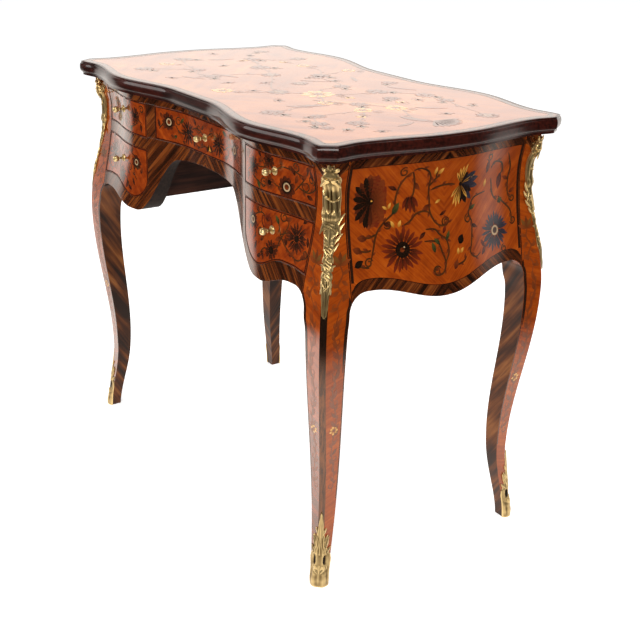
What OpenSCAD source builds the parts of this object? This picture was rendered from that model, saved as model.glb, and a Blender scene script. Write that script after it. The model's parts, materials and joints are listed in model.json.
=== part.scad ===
// Small writing desk of the serpentine, bombé kind: five drawers round an arched kneehole,
// a moulded top with canted corners, four S-curved legs and gilt corner and foot mounts.
// The origin is on the floor under the middle of the desk, X runs to the right, Y to the back, Z up.

/* [Overall] */
// Height of the top surface above the floor
height = 780; // [740:5:830]
// Distance from front to back between the points of the canted corners
corner_depth = 488; // [460:4:560]

/* [Top] */
// Thickness of the top board and its moulding
top_t = 28; // [22:1:34]
// How far the moulding stands out from the board
moulding_out = 7.5; // [5:0.5:12]
// How far the middle of the front lies behind its corners
hollow_in = 18; // [10:1:26]
// Half the width of the flat middle of the hollow
hollow_half = 60; // [30:5:80]
// How far the crest of the front stands out past its corners
crest_out = 14; // [6:1:22]
// Distance of the crest from the inner edge of the side drawers
crest_offset = 50; // [35:1:65]
// How far the front draws in beside the legs
waist_in = 8; // [2:1:12]
// How far the middle of a side stands out past its corners
side_crest = 16; // [6:1:24]
// How far a side draws in beside the legs
side_waist = 5; // [1:1:8]
// Width of the canted corner along the side
ear_w = 14; // [8:1:20]
// Depth of the canted corner along the side
ear_d = 21; // [14:1:28]

/* [Drawers] */
// Width of the opening of the middle drawer
centre_drawer_w = 322; // [290:2:360]
// Height of the opening of the middle drawer
centre_drawer_h = 65; // [56:1:68]
// Width of the openings of the side drawers
side_drawer_w = 192; // [176:2:230]
// Height of the openings of the upper side drawers
side_drawer_h = 68; // [60:1:80]
// Height of the openings of the lower side drawers beside the legs
lower_drawer_h = 85; // [78:1:96]
// How far the lower edge of the lower drawers sags at its lowest
lower_belly = 19.5; // [12:0.5:24]
// Rise of that edge between its lowest point and the leg
lower_rise = 4.5; // [0:0.5:8]
// Radius of the inner lower corner of the lower drawers
lower_corner_r = 53; // [40:1:60]
// Clearance all round a drawer front
drawer_gap = 0.8; // [0.5:0.1:1.5]
// Height of the rail above the drawers
top_rail_h = 19; // [14:1:26]
// Height of the rail between the side drawers
drawer_rail_h = 22; // [16:1:30]
// Width of the stiles between the middle and the side drawers
stile_w = 24; // [18:1:32]
// Least thickness of the front of the middle drawer
centre_front_t = 18; // [14:1:22]
// Least thickness of the fronts of the side drawers
side_front_t = 18; // [14:1:22]
// Thickness of the drawer sides and backs
drawer_side_t = 9; // [7:0.5:12]
// Thickness of the drawer bottoms
drawer_bottom_t = 5; // [4:0.5:7]
// Depth of the grooves that hold the drawer bottoms
groove_d = 3; // [2:0.5:5]
// Distance of the drawer backs in front of the back legs' posts
drawer_back_gap = 32; // [24:2:60]
// Distance of a drawer box from the opening above and below it
box_drop = 5; // [3:0.5:8]
// Distance of the side drawers' boxes from the leg posts
box_inset = 11; // [8:1:20]

/* [Carcass] */
// Least thickness of the front frame, whose back is flat
frame_t = 10; // [8:1:16]
// Thickness of the sides
side_wall = 18; // [14:1:24]
// How far a side bows out between its legs
side_bow = 18; // [8:1:24]
// Thickness of the back
back_wall = 16; // [12:1:24]
// How far the flat upper front lies behind the edge of the top
front_overhang = 26; // [18:1:32]
// Height of the rail above the kneehole at its crown
crown_rail_h = 22; // [18:1:28]
// Fall of the arch over the first 100 mm from its crown
arch_fall = 8; // [4:1:14]
// Run over which the arch drops beside a pedestal
arch_run = 128; // [110:2:140]
// How far that run ends beyond the inner edge of the side drawers
arch_past = 43; // [30:1:52]
// Height of the apron under the lowest point of the lower drawers
apron_h = 25; // [18:1:34]
// Height of the apron under the lower drawers beside the legs
shoulder_h = 22; // [17:1:26]
// Drop of the lower edge of a side from its ends to its middle
side_drop = 28; // [16:2:44]
// Thickness of the partitions on both sides of the kneehole
cheek_t = 12; // [9:1:16]
// Height of the front frame that shows below the partitions
cheek_rise = 30.5; // [24:0.5:34]
// Thickness of the bottoms and of the kneehole ceiling
board_t = 7; // [5:1:9]
// Width of a drawer runner under its box
runner_w = 14; // [10:1:20]
// Height of the lower drawers' runners
runner_h = 24; // [16:1:30]
// Running clearance over the drawer runners
runner_gap = 0.3; // [0.2:0.1:0.6]
// Height of the guides beside the boxes and of the stops behind them
guide_h = 14; // [10:1:20]
// Thickness of the stops behind the drawers
stop_t = 10; // [6:1:16]

/* [Legs] */
// Width of a leg post from the side drawer to the canted corner
post_w = 53; // [46:1:64]
// Length of a leg post along the side
post_d = 44; // [38:1:52]
// How far the legs stand in from the corners of the top, front to back
leg_inset = 18; // [12:1:26]
// Width of the chamfer on the outer corner of a leg
leg_chamfer = 8; // [5:1:11]
// Width of a leg at the floor
foot_w = 20; // [16:1:26]
// Width of a leg at the knee
knee_w = 49; // [44:1:54]
// Swell of a leg between the foot and the knee
leg_swell = 1.2; // [0:0.2:3]
// Distance of the knee below the top board
knee_drop = 282; // [265:1:300]
// How far the knee stands out
knee_out = 14.5; // [8:0.5:20]
// Distance of the neck below the top board
neck_drop = 62; // [50:1:75]
// How far the neck draws in
neck_in = 15; // [8:0.5:20]
// How far the leg draws in under the top board
head_in = 7; // [2:0.5:12]
// Height of the ankle
ankle_z = 148; // [110:2:190]
// How far the ankle draws in
ankle_in = 10.8; // [4:0.4:18]
// Radius of the shoulders where a leg meets the apron
shoulder_r = 35; // [26:1:42]
// How far the rounded shoulder runs into the leg at the front
shoulder_in = 11; // [6:1:15]
// How far it runs into the leg at the sides
side_shoulder_in = 6; // [3:1:10]

/* [Mounts and knobs] */
// Distance of the top of a corner mount below the top board
chute_drop = 8; // [4:1:20]
// Length of a corner mount
chute_len = 238; // [190:2:260]
// Widest reach of a corner mount round each side of the corner
chute_w = 13.5; // [11:0.5:18]
// Relief of a corner mount
chute_relief = 6; // [4:0.5:9]
// How far the bow of a corner mount stands off the neck of the leg
chute_bow = 4; // [1:0.5:6]
// Height of a foot mount
sabot_h = 138; // [100:2:160]
// Relief of a foot mount at its toe
sabot_relief = 6; // [4:0.5:9]
// Thickness of the gilt bronze where it is thin
bronze_t = 2; // [1.4:0.2:3]
// Radius of a knob
knob_r = 6.5; // [5:0.5:9]
// Distance of the middle of a knob from its drawer front
knob_stem = 17; // [13:1:20]
// Radius of the rose behind a knob
rose_r = 7.5; // [6:0.5:10]
// How far the side knobs sit above the middle of their drawers
knob_rise = 7; // [0:1:10]

/* [Hidden] */
$fn = 48;

// Clearance between curved faces that lie against each other
seat = 0.2;

// Widths in the front elevation, from the middle outwards
centre_half = centre_drawer_w / 2;
inner_x = centre_half + stile_w;
outer_x = inner_x + side_drawer_w;
corner_x = outer_x + post_w;
corner_y = corner_depth / 2;

// Heights in the front elevation, from the top down
case_top = height - top_t;
open_top = case_top - top_rail_h;
centre_low = open_top - centre_drawer_h;
upper_low = open_top - side_drawer_h;
lower_top = upper_low - drawer_rail_h;
lower_low = lower_top - lower_drawer_h;
belly_low = lower_low - lower_belly;
crown_z = centre_low - crown_rail_h;
apron_low = belly_low - apron_h;
shoulder_z = lower_low - shoulder_h;
fillet_z = shoulder_z - shoulder_r;
cheek_low = apron_low + cheek_rise;

// Reference lines of the legs, and the inner faces of their posts
leg_ref_x = corner_x;
leg_ref_y = corner_y - leg_inset;
post_y = leg_ref_y - post_d;
drawer_back_y = post_y - drawer_back_gap;
knee_z = case_top - knee_drop;
neck_z = case_top - neck_drop;

// Colours
satinwood = [0.80, 0.36, 0.12];
rosewood = [0.34, 0.15, 0.07];
mahogany = [0.22, 0.06, 0.05];
oak = [0.72, 0.55, 0.36];
gilt = [0.86, 0.70, 0.34];

// Value between a and b at the share t
function mix(a, b, t) = a + (b - a) * t;

// Share of a smooth step that starts and ends level
function ease(t) = (1 - cos(180 * min(max(t, 0), 1))) / 2;

// Smooth line through stations [place, value] that lies level at each of them
function eased(s, t, i = 0) =
    t <= s[i][0] || i == len(s) - 1 ? s[i][1]
    : t < s[i + 1][0] ? mix(s[i][1], s[i + 1][1], ease((t - s[i][0]) / (s[i + 1][0] - s[i][0])))
    : eased(s, t, i + 1);

// Evenly spaced values from a to b in n steps
function spread(a, b, n) = [for (i = [0:n]) mix(a, b, i / n)];

// Half depth of the top board at the distance x from the middle
top_front = [
    [hollow_half, corner_y - hollow_in],
    [inner_x + crest_offset, corner_y + crest_out],
    [outer_x, corner_y - waist_in],
    [corner_x, corner_y]
];
function top_d(x) = eased(top_front, abs(x));

// Half width of the top board at the distance y from the middle
top_side = [
    [15, corner_x + ear_w + side_crest],
    [post_y, corner_x + ear_w - side_waist],
    [corner_y - ear_d, corner_x + ear_w]
];
function top_w(y) = eased(top_side, abs(y));

// S-curve of the legs: how far the outer corner stands out from its reference line at the height z
leg_line = [
    [0, 0],
    [ankle_z, -ankle_in],
    [knee_z, knee_out],
    [neck_z, -neck_in],
    [case_top, -head_in]
];
function leg_out(z) = eased(leg_line, z);
function leg_x(z) = leg_ref_x + leg_out(z);
function leg_y(z) = leg_ref_y + leg_out(z);
function leg_w(z) = mix(foot_w, knee_w, z / knee_z) + leg_swell * sin(180 * z / knee_z);

// Inner edge of a leg: a post above, a rounded shoulder, then the tapering leg.
// in0 is the post's inner face, run how far the shoulder runs into it, ref the reference line of the outer face
function leg_in(z, in0, run, ref) =
    let (edge = in0 + run, centre = edge - shoulder_r, dz = z - fillet_z)
    z <= knee_z ? ref + leg_out(z) - leg_w(z)
    : dz <= 0 ? mix(edge, ref + leg_out(knee_z) - leg_w(knee_z), ease(-dz / (fillet_z - knee_z)))
    : dz < shoulder_r ? max(in0, centre + sqrt(shoulder_r ^ 2 - dz ^ 2))
    : in0;

// Height of a shoulder's curve at the distance t from the middle
function shoulder_curve(t, in0, run) =
    let (centre = in0 + run - shoulder_r)
    t <= centre ? shoulder_z : fillet_z + sqrt(max(shoulder_r ^ 2 - (t - centre) ^ 2, 0));

// Depth of the curved front at x and the height z: upright at the kneehole,
// and blending into the S-curve of the legs at the outer edges of the drawers
function front_d(x, z) =
    let (ax = min(abs(x), outer_x), share = ease((ax - inner_x) / side_drawer_w))
    top_d(ax) - mix(front_overhang, top_d(outer_x) - leg_y(z), share);
frame_back = front_d(0, case_top) - frame_t;

// Half width of the curved sides at y and the height z
function side_w(y, z) = leg_x(z) + side_bow * (1 - ease((abs(y) - 15) / (post_y - 15)));

// Lower edge of the front frame: arch, pedestal and shoulder
arch_end = inner_x + arch_past;
arch_in = arch_end - arch_run;
function arch_z(x) = mix(crown_z - arch_fall * (x / 100) ^ 2, apron_low, ease((x - arch_in) / (arch_end - arch_in)));
function pedestal_z(x) = eased([[inner_x + crest_offset + 13, apron_low],
    [outer_x + shoulder_in - shoulder_r - 13, shoulder_z]], x);
function apron_z(x) =
    let (ax = abs(x))
    ax < arch_end ? arch_z(ax) : min(pedestal_z(ax), shoulder_curve(ax, outer_x, shoulder_in));

// Lower edge of the sides
side_low = shoulder_z - side_drop;
function side_z(y) =
    let (ay = abs(y), end = post_y + side_shoulder_in - shoulder_r - 8)
    min(eased([[0, side_low], [end, shoulder_z]], ay), shoulder_curve(ay, post_y, side_shoulder_in));

// Lower edge of the opening of a lower drawer, drawn in by g
function lower_edge(x, g) =
    let (cx = inner_x + lower_corner_r, cz = belly_low + lower_corner_r, r = lower_corner_r - g)
    x < cx ? cz - sqrt(max(r ^ 2 - (x - cx) ^ 2, 0))
    : g + eased([[cx, belly_low], [outer_x - 0.32 * side_drawer_w, lower_low + lower_rise],
        [outer_x - 0.23 * side_drawer_w, lower_low + lower_rise], [outer_x + 0.05 * side_drawer_w, lower_low]], x);

// Joins rings of equally many points into one solid. The rings run clockwise, seen from the first ring's side.
// Where they are columns, as many points up the face as down the back, the ends are cut into strips
module loft(rings, columns = false) {
    n = len(rings[0]);
    m = len(rings);
    sides = [
        for (i = [0:m - 2], j = [0:n - 1])
            let (a = i * n + j, b = i * n + (j + 1) % n)
            each [[a, a + n, b], [b, a + n, b + n]]
    ];
    ends = columns
        ? [
            for (j = [0:n / 2 - 2])
                let (k = n - 1 - j, last = (m - 1) * n)
                each [[j, j + 1, k - 1, k], [last + j, last + k, last + k - 1, last + j + 1]]
        ]
        : [[for (j = [0:n - 1]) j], [for (j = [n - 1:-1:0]) (m - 1) * n + j]];
    polyhedron(points = [for (r = rings) each r], faces = concat(sides, ends));
}

// Column of a board that follows the front's curved face. t is its thickness
function curved_column(x, z0, z1, rows, t) = concat(
    [for (z = spread(z0, z1, rows)) [x, -front_d(x, z), z]],
    [for (z = spread(z1, z0, rows)) [x, -front_d(x, z) + t, z]]
);

// Column of a board with a curved face and a flat back at the plane y
function flat_column(x, z0, z1, rows, y) = concat(
    [for (z = spread(z0, z1, rows)) [x, -front_d(x, z), z]],
    [for (z = spread(z1, z0, rows)) [x, y, z]]
);
function frame_column(x, z0, z1, rows) = flat_column(x, z0, z1, rows, -frame_back);

// Copies its children to the left as well
module mirrored(left) {
    mirror([left ? 1 : 0, 0, 0]) children();
}

// Top board

front_xs = concat(spread(-corner_x, -outer_x, 3), [for (i = [1:31]) mix(-outer_x, outer_x, i / 32)],
    spread(outer_x, corner_x, 3));
side_ys = spread(-corner_y + ear_d, corner_y - ear_d, 18);
front_line = [for (x = front_xs) [x, -top_d(x)]];
right_line = [for (y = side_ys) [top_w(y), y]];
back_line = [for (p = front_line) -p];
left_line = [for (p = right_line) -p];
outline = concat(front_line, right_line, back_line, left_line);

module top_panel() {
    color(satinwood)
        translate([0, 0, case_top])
            linear_extrude(top_t)
                polygon(outline);
}

// Outward direction at a point of the outline, long enough to keep the moulding's width at corners
function unit(v) = v / norm(v);
function outward(i) =
    let (n = len(outline),
        a = unit(outline[i] - outline[(i + n - 1) % n]),
        b = unit(outline[(i + 1) % n] - outline[i]),
        na = [a.y, -a.x],
        nb = [b.y, -b.x])
    (na + nb) / (1 + na * nb);

// Section of the moulding: [out from the board, height]. Lip, quirk, bullnose, cove and fillet
nose_h = 0.62 * top_t;
nose_z = top_t - 3.4 - nose_h / 2;
moulding_section = concat(
    [[0, 0], [0, top_t], [0.5 * moulding_out, top_t], [0.68 * moulding_out, top_t - 1.4],
        [0.6 * moulding_out, top_t - 3]],
    [for (a = [65:-26:-65])
        [0.52 * moulding_out + 0.48 * moulding_out * cos(a), nose_z + nose_h / 2 * sin(a) / sin(65)]],
    [[0.45 * moulding_out, nose_z - nose_h / 2 - 0.6], [0.3 * moulding_out, top_t * 0.16],
        [0.3 * moulding_out, 0]]
);

// Stretch of moulding along the outline, from point i0 to point i1
module moulding(i0, i1) {
    color(mahogany)
        loft([
            for (i = [i0:i1])
                let (k = i % len(outline), p = outline[k], o = outward(k))
                [for (s = moulding_section) [p.x + o.x * s.x, p.y + o.y * s.x, case_top + s.y]]
        ]);
}
front_n = len(front_line);
right_n = len(right_line);
module front_moulding() {
    moulding(-1 + len(outline), len(outline) + front_n);
}
module right_moulding() {
    moulding(front_n, front_n + right_n - 1);
}
module back_moulding() {
    moulding(front_n + right_n - 1, 2 * front_n + right_n);
}
module left_moulding() {
    moulding(2 * front_n + right_n, 2 * front_n + 2 * right_n - 1);
}

// Legs

leg_zs = concat(
    spread(0, ankle_z, 12),
    [for (i = [1:18]) mix(ankle_z, knee_z, i / 19)],
    [knee_z],
    [for (i = [1:3]) mix(knee_z, fillet_z, i / 4)],
    [for (a = [0:15:60]) fillet_z + shoulder_r * sin(a)],
    [shoulder_z],
    [for (i = [1:11]) mix(shoulder_z, case_top, i / 12)],
    [case_top]
);

module leg() {
    color(rosewood)
        loft([
            for (z = leg_zs)
                let (x = leg_x(z), y = leg_y(z), c = leg_chamfer,
                    xi = leg_in(z, outer_x, shoulder_in, leg_ref_x),
                    yi = leg_in(z, post_y, side_shoulder_in, leg_ref_y))
                [[xi, -yi, z], [x, -yi, z], [x, -y + c, z], [x - c, -y, z], [xi, -y, z]]
        ]);
}

// Places a right front corner's piece on any corner
module corner(left, back) {
    mirror([0, back ? 1 : 0, 0])
        mirror([left ? 1 : 0, 0, 0])
            children();
}
module front_right_leg() {
    corner(false, false) leg();
}
module front_left_leg() {
    corner(true, false) leg();
}
module back_right_leg() {
    corner(false, true) leg();
}
module back_left_leg() {
    corner(true, true) leg();
}

// Gilt mounts

// Point of the unfolded corner: u runs round the corner from the front face to the side face,
// d is the distance off the wood
chamfer_half = leg_chamfer / sqrt(2);
function corner_point(u, d, z) =
    let (c = chamfer_half, x = leg_x(z), y = leg_y(z), over = abs(u) - c, s = sign(u),
        k = max(over, 0), flat = min(abs(u), c) * s)
    let (mid = [x - leg_chamfer / 2 + flat / sqrt(2), -y + leg_chamfer / 2 + flat / sqrt(2)],
        turn = 45 * min(max(abs(u) / c - 0.5, 0), 1) * s,
        dir = [cos(-45 + turn), sin(-45 + turn)])
    let (p = mid + (s > 0 ? [0, k] : [-k, 0]) + dir * d)
    [p.x, p.y, z];

// Bronze round a leg's corner, as rings [height, reach, relief, stand-off]. It covers the chamfer everywhere
bronze_least = chamfer_half + 1;
module bronze(stations) {
    shares = [-1, -0.72, -0.4, 0, 0.4, 0.72, 1];
    color(gilt)
        loft([
            for (s = stations)
                concat(
                    [for (k = shares) corner_point(k * s[1], seat + s[3] + bronze_t + s[2] * (1 - k * k), s[0])],
                    [for (u = [s[1], chamfer_half, -chamfer_half, -s[1]]) corner_point(u, seat + s[3], s[0])]
                )
        ]);
}

// Corner mount: scrolled head, bow that stands off the neck, leaf, netted tail and drop
chute_top = case_top - chute_drop;
chute_low = chute_top - chute_len;
chute_reach = [[0, 0.3], [0.13, 0.48], [0.2, 0.63], [0.3, 0.52], [0.42, 0.6], [0.56, 0.88], [0.68, 1], [0.86, 0.96],
    [0.95, 0.72], [1, 0.48]];
chute_height = [[0, 0.1], [0.13, 0.4], [0.22, 0.6], [0.42, 0.45], [0.68, 0.8], [0.86, 0.9], [0.95, 1], [1, 0.5]];
chute_off = [[0.5, 0], [0.82, chute_bow], [0.97, 1]];
module chute() {
    bronze([
        for (z = [chute_low, for (z = leg_zs) if (z > chute_low + 1 && z < chute_top - 1) z, chute_top])
            let (t = (z - chute_low) / chute_len)
            [z, max(chute_w * eased(chute_reach, t), bronze_least), chute_relief * eased(chute_height, t), eased(chute_off, t)]
    ]);
}
module front_right_chute() {
    corner(false, false) chute();
}
module front_left_chute() {
    corner(true, false) chute();
}
module back_right_chute() {
    corner(false, true) chute();
}
module back_left_chute() {
    corner(true, true) chute();
}

// Foot mount: it wraps the outer faces at the floor, and runs up the corner to a leaf's point
sabot_reach = [[0, 0.98], [0.2, 0.9], [0.36, 0.98], [0.6, 0.55], [0.85, 0.3], [1, 0.12]];
sabot_height = [[0, 1], [0.1, 0.9], [0.24, 0.15], [0.4, 0.4], [0.8, 0.3], [1, 0.05]];
module sabot() {
    bronze([
        for (z = [for (z = leg_zs) if (z < sabot_h) z, sabot_h])
            let (t = z / sabot_h)
            [z, max(leg_w(z) * eased(sabot_reach, t), bronze_least), sabot_relief * eased(sabot_height, t), 0]
    ]);
}
module front_right_sabot() {
    corner(false, false) sabot();
}
module front_left_sabot() {
    corner(true, false) sabot();
}
module back_right_sabot() {
    corner(false, true) sabot();
}
module back_left_sabot() {
    corner(true, true) sabot();
}

// Sides and back

module side_panel() {
    ys = concat(spread(-post_y, -0.8 * post_y, 4), spread(-0.7 * post_y, 0.7 * post_y, 12),
        spread(0.8 * post_y, post_y, 4));
    rows = 9;
    color(satinwood)
        loft([
            for (y = ys)
                concat(
                    [for (z = spread(side_z(y), case_top, rows)) [side_w(y, z), y, z]],
                    [for (z = spread(case_top, side_z(y), rows)) [side_w(y, z) - side_wall, y, z]]
                )
        ], columns = true);
}
module right_side_panel() {
    side_panel();
}
module left_side_panel() {
    mirrored(true) side_panel();
}

arch_xs = concat(spread(-arch_end, -arch_in, 9), [for (i = [1:6]) mix(-arch_in, arch_in, i / 7)],
    spread(arch_in, arch_end, 9));
flank_x = outer_x - 0.2 * side_drawer_w;
end_xs = spread(outer_x - 0.15 * side_drawer_w, outer_x, 4);
pedestal_xs = concat([for (i = [1:8]) mix(arch_end, flank_x, i / 8)], end_xs);
module back_panel() {
    xs = concat([for (i = [len(pedestal_xs) - 1:-1:0]) -pedestal_xs[i]], arch_xs, pedestal_xs);
    color(rosewood)
        mirror([0, 1, 0])
            loft([for (x = xs) curved_column(x, apron_z(x), case_top, 5, back_wall)], columns = true);
}

// Front frame

module front_top_rail() {
    color(rosewood)
        loft([for (x = spread(-outer_x, outer_x, 32)) frame_column(x, open_top, case_top, 1)], columns = true);
}

module front_stiles() {
    color(rosewood)
        for (left = [false, true])
            mirrored(left)
                loft([for (x = spread(centre_half, inner_x, 3)) frame_column(x, centre_low, open_top, 1)],
                    columns = true);
}

module drawer_rail() {
    color(rosewood)
        loft([for (x = spread(inner_x, outer_x, 12)) frame_column(x, lower_top, upper_low, 1)], columns = true);
}
module right_drawer_rail() {
    drawer_rail();
}
module left_drawer_rail() {
    mirrored(true) drawer_rail();
}

module kneehole_arch() {
    inner = [for (x = arch_xs) if (abs(x) < inner_x - 1) x];
    color(rosewood)
        loft([for (x = concat([-inner_x], inner, [inner_x])) frame_column(x, apron_z(x), centre_low, 1)],
            columns = true);
}

// Places across a lower drawer: close together round its inner corner
corner_xs = [for (a = [0:15:90]) inner_x + lower_corner_r * (1 - cos(a))];
flank_xs = [for (i = [1:7]) mix(inner_x + lower_corner_r, flank_x, i / 7)];
module apron() {
    color(rosewood)
        loft([for (x = concat(corner_xs, flank_xs, end_xs)) frame_column(x, apron_z(x), lower_edge(x, 0), 4)],
            columns = true);
}
module right_apron() {
    apron();
}
module left_apron() {
    mirrored(true) apron();
}

// Inside of the carcass

cheek_x = inner_x + drawer_gap;
cheek_face = cheek_x + cheek_t;
module cheek() {
    back = front_d(cheek_x, case_top) - back_wall - seat;
    color(mahogany)
        translate([cheek_x, -frame_back, cheek_low])
            cube([cheek_t, frame_back + back, case_top - cheek_low]);
}
module right_cheek() {
    cheek();
}
module left_cheek() {
    mirrored(true) cheek();
}

// Bottoms of the drawer boxes, and the runners under them
centre_box_z = centre_low + box_drop;
upper_box_z = upper_low + box_drop;
lower_box_z = cheek_low + board_t + runner_h;

ceiling_z = crown_z + board_t / 2;
module kneehole_ceiling() {
    color(oak)
        translate([0, 0, ceiling_z])
            linear_extrude(board_t)
                polygon(concat(
                    [[-cheek_x, -frame_back], [cheek_x, -frame_back]],
                    [for (x = spread(cheek_x, -cheek_x, 16)) [x, front_d(x, ceiling_z) - back_wall - 3 * seat]]
                ));
}

module pedestal_bottom() {
    z1 = cheek_low + board_t;
    color(oak)
        translate([0, 0, cheek_low])
            linear_extrude(board_t)
                polygon(concat(
                    [[cheek_face, -frame_back], [outer_x - seat, -frame_back], [outer_x - seat, -post_y + seat]],
                    [for (y = spread(-post_y + seat, post_y - seat, 12)) [side_w(y, z1) - side_wall - 3 * seat, y]],
                    [[outer_x - seat, post_y - seat]],
                    [for (x = spread(outer_x - seat, cheek_face, 8)) [x, front_d(x, z1) - back_wall - 3 * seat]]
                ));
}
module right_pedestal_bottom() {
    pedestal_bottom();
}
module left_pedestal_bottom() {
    mirrored(true) pedestal_bottom();
}

// Runner from x0 to x1 under a box whose bottom lies at z: a bar with a guide beside the box
// at the outer or inner side, and a stop behind the box
module runner(x0, x1, z0, z, guide_x0, guide_x1, y0, y1) {
    top = z - runner_gap;
    translate([x0, y0, z0])
        cube([x1 - x0, y1 - y0, top - z0]);
    translate([guide_x0, y0, z0])
        cube([guide_x1 - guide_x0, y1 - y0, top - z0 + guide_h]);
    translate([x0, drawer_back_y + runner_gap, z0])
        cube([x1 - x0, stop_t, top - z0 + guide_h]);
}

// Sides of the side drawers' boxes
box_x0 = cheek_face + 4 * drawer_gap;
box_x1 = outer_x - box_inset;
module pedestal_runners() {
    wall_face = leg_x(neck_z) - side_wall - seat;
    color(oak)
        for (left = [false, true], upper = [false, true])
            mirrored(left) {
                z = upper ? upper_box_z : lower_box_z;
                z0 = upper ? lower_top + box_drop : cheek_low + board_t;
                runner(cheek_face, cheek_face + runner_w, z0, z, cheek_face, box_x0 - runner_gap, -post_y, post_y);
                runner(box_x1 - runner_w, wall_face, z0, z, box_x1 + runner_gap, wall_face, -post_y, post_y);
            }
}

centre_box_half = centre_half - 5 * drawer_gap;
module centre_runners() {
    color(oak)
        for (left = [false, true])
            mirrored(left)
                runner(centre_box_half - runner_w, cheek_x, ceiling_z + board_t, centre_box_z,
                    centre_box_half + runner_gap, cheek_x, centre_back_y + 1, post_y);
}

// Drawers

centre_back_y = -front_d(0, centre_low) + centre_front_t;
side_back_y = -front_d(outer_x, neck_z) + side_front_t;

// Box behind a drawer front: sides grooved for the bottom, then the back, then the bottom
module box_sides(x0, x1, y0, z0, z1) {
    color(oak)
        difference() {
            union() {
                translate([x0, y0, z0])
                    cube([drawer_side_t, drawer_back_y - y0, z1 - z0]);
                translate([x1 - drawer_side_t, y0, z0])
                    cube([drawer_side_t, drawer_back_y - y0, z1 - z0]);
            }
            translate([x0 + drawer_side_t - groove_d, y0 - 1, z0 + groove_d])
                cube([x1 - x0 - 2 * drawer_side_t + 2 * groove_d, drawer_back_y - y0 + 2, drawer_bottom_t]);
        }
}
module box_back(x0, x1, z0, z1) {
    color(oak)
        translate([x0 + drawer_side_t, drawer_back_y - drawer_side_t, z0 + groove_d + drawer_bottom_t])
            cube([x1 - x0 - 2 * drawer_side_t, drawer_side_t, z1 - z0 - groove_d - drawer_bottom_t]);
}
module box_bottom(x0, x1, y0, z0) {
    side = drawer_side_t - groove_d + seat;
    color(oak)
        translate([x0 + side, y0, z0 + groove_d])
            cube([x1 - x0 - 2 * side, drawer_back_y - y0, drawer_bottom_t]);
}

// Depth of the flat seat of a knob's rose, at the deepest point of the curved front under it
function rose_seat(x, z) = min([for (a = [0:45:315]) front_d(x + rose_r * cos(a), z + rose_r * sin(a))]);
shank_r = 2.4;
shank_len = 12;
module knob_hole(x, z) {
    translate([x, -rose_seat(x, z), z])
        rotate([90, 0, 0]) {
            translate([0, 0, -shank_len])
                cylinder(r = shank_r + 0.1, h = shank_len + 1);
            cylinder(r = rose_r + 0.3, h = 12);
        }
}

// Turned knob with its rose and shank, made along Z and laid forward
module knob(x, z) {
    color(gilt)
        translate([x, -rose_seat(x, z), z])
            rotate([90, 0, 0])
                rotate_extrude()
                    union() {
                        translate([0, -shank_len])
                            square([shank_r, shank_len + 1]);
                        square([rose_r, 1.6]);
                        translate([0, 1.6])
                            square([rose_r - 1.8, 1.2]);
                        square([shank_r + 0.4, knob_stem]);
                        translate([0, knob_stem - knob_r * 0.8])
                            square([knob_r * 0.55, 1.4]);
                        intersection() {
                            translate([0, knob_stem])
                                circle(r = knob_r);
                            translate([0, knob_stem - knob_r])
                                square([knob_r, 2 * knob_r]);
                        }
                    }
}

// Middle drawer
centre_z1 = open_top - drawer_gap;
centre_z0 = centre_low + drawer_gap;
centre_knob_z = (centre_low + open_top) / 2;
module centre_drawer_front() {
    color(satinwood)
        difference() {
            loft([
                for (x = spread(-centre_half + drawer_gap, centre_half - drawer_gap, 24))
                    flat_column(x, centre_z0, centre_z1, 1, centre_back_y)
            ], columns = true);
            knob_hole(0, centre_knob_z);
        }
}
module centre_drawer_sides() {
    box_sides(-centre_box_half, centre_box_half, centre_back_y, centre_box_z, open_top - box_drop);
}
module centre_drawer_back() {
    box_back(-centre_box_half, centre_box_half, centre_box_z, open_top - box_drop);
}
module centre_drawer_bottom() {
    box_bottom(-centre_box_half, centre_box_half, centre_back_y, centre_box_z);
}
module centre_drawer_knob() {
    knob(0, centre_knob_z);
}

// Upper side drawers
side_mid_x = (inner_x + outer_x) / 2;
upper_knob_z = (upper_low + open_top) / 2 + knob_rise;
module upper_front() {
    color(satinwood)
        difference() {
            loft([
                for (x = spread(inner_x + drawer_gap, outer_x - drawer_gap, 18))
                    flat_column(x, upper_low + drawer_gap, open_top - drawer_gap, 4, side_back_y)
            ], columns = true);
            knob_hole(side_mid_x, upper_knob_z);
        }
}
module upper_sides() {
    box_sides(box_x0, box_x1, side_back_y, upper_box_z, open_top - box_drop);
}
module upper_back() {
    box_back(box_x0, box_x1, upper_box_z, open_top - box_drop);
}
module upper_bottom() {
    box_bottom(box_x0, box_x1, side_back_y, upper_box_z);
}
module upper_knob() {
    knob(side_mid_x, upper_knob_z);
}
module upper_right_drawer_front() {
    upper_front();
}
module upper_right_drawer_sides() {
    upper_sides();
}
module upper_right_drawer_back() {
    upper_back();
}
module upper_right_drawer_bottom() {
    upper_bottom();
}
module upper_right_drawer_knob() {
    upper_knob();
}
module upper_left_drawer_front() {
    mirrored(true) upper_front();
}
module upper_left_drawer_sides() {
    mirrored(true) upper_sides();
}
module upper_left_drawer_back() {
    mirrored(true) upper_back();
}
module upper_left_drawer_bottom() {
    mirrored(true) upper_bottom();
}
module upper_left_drawer_knob() {
    mirrored(true) upper_knob();
}

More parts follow.
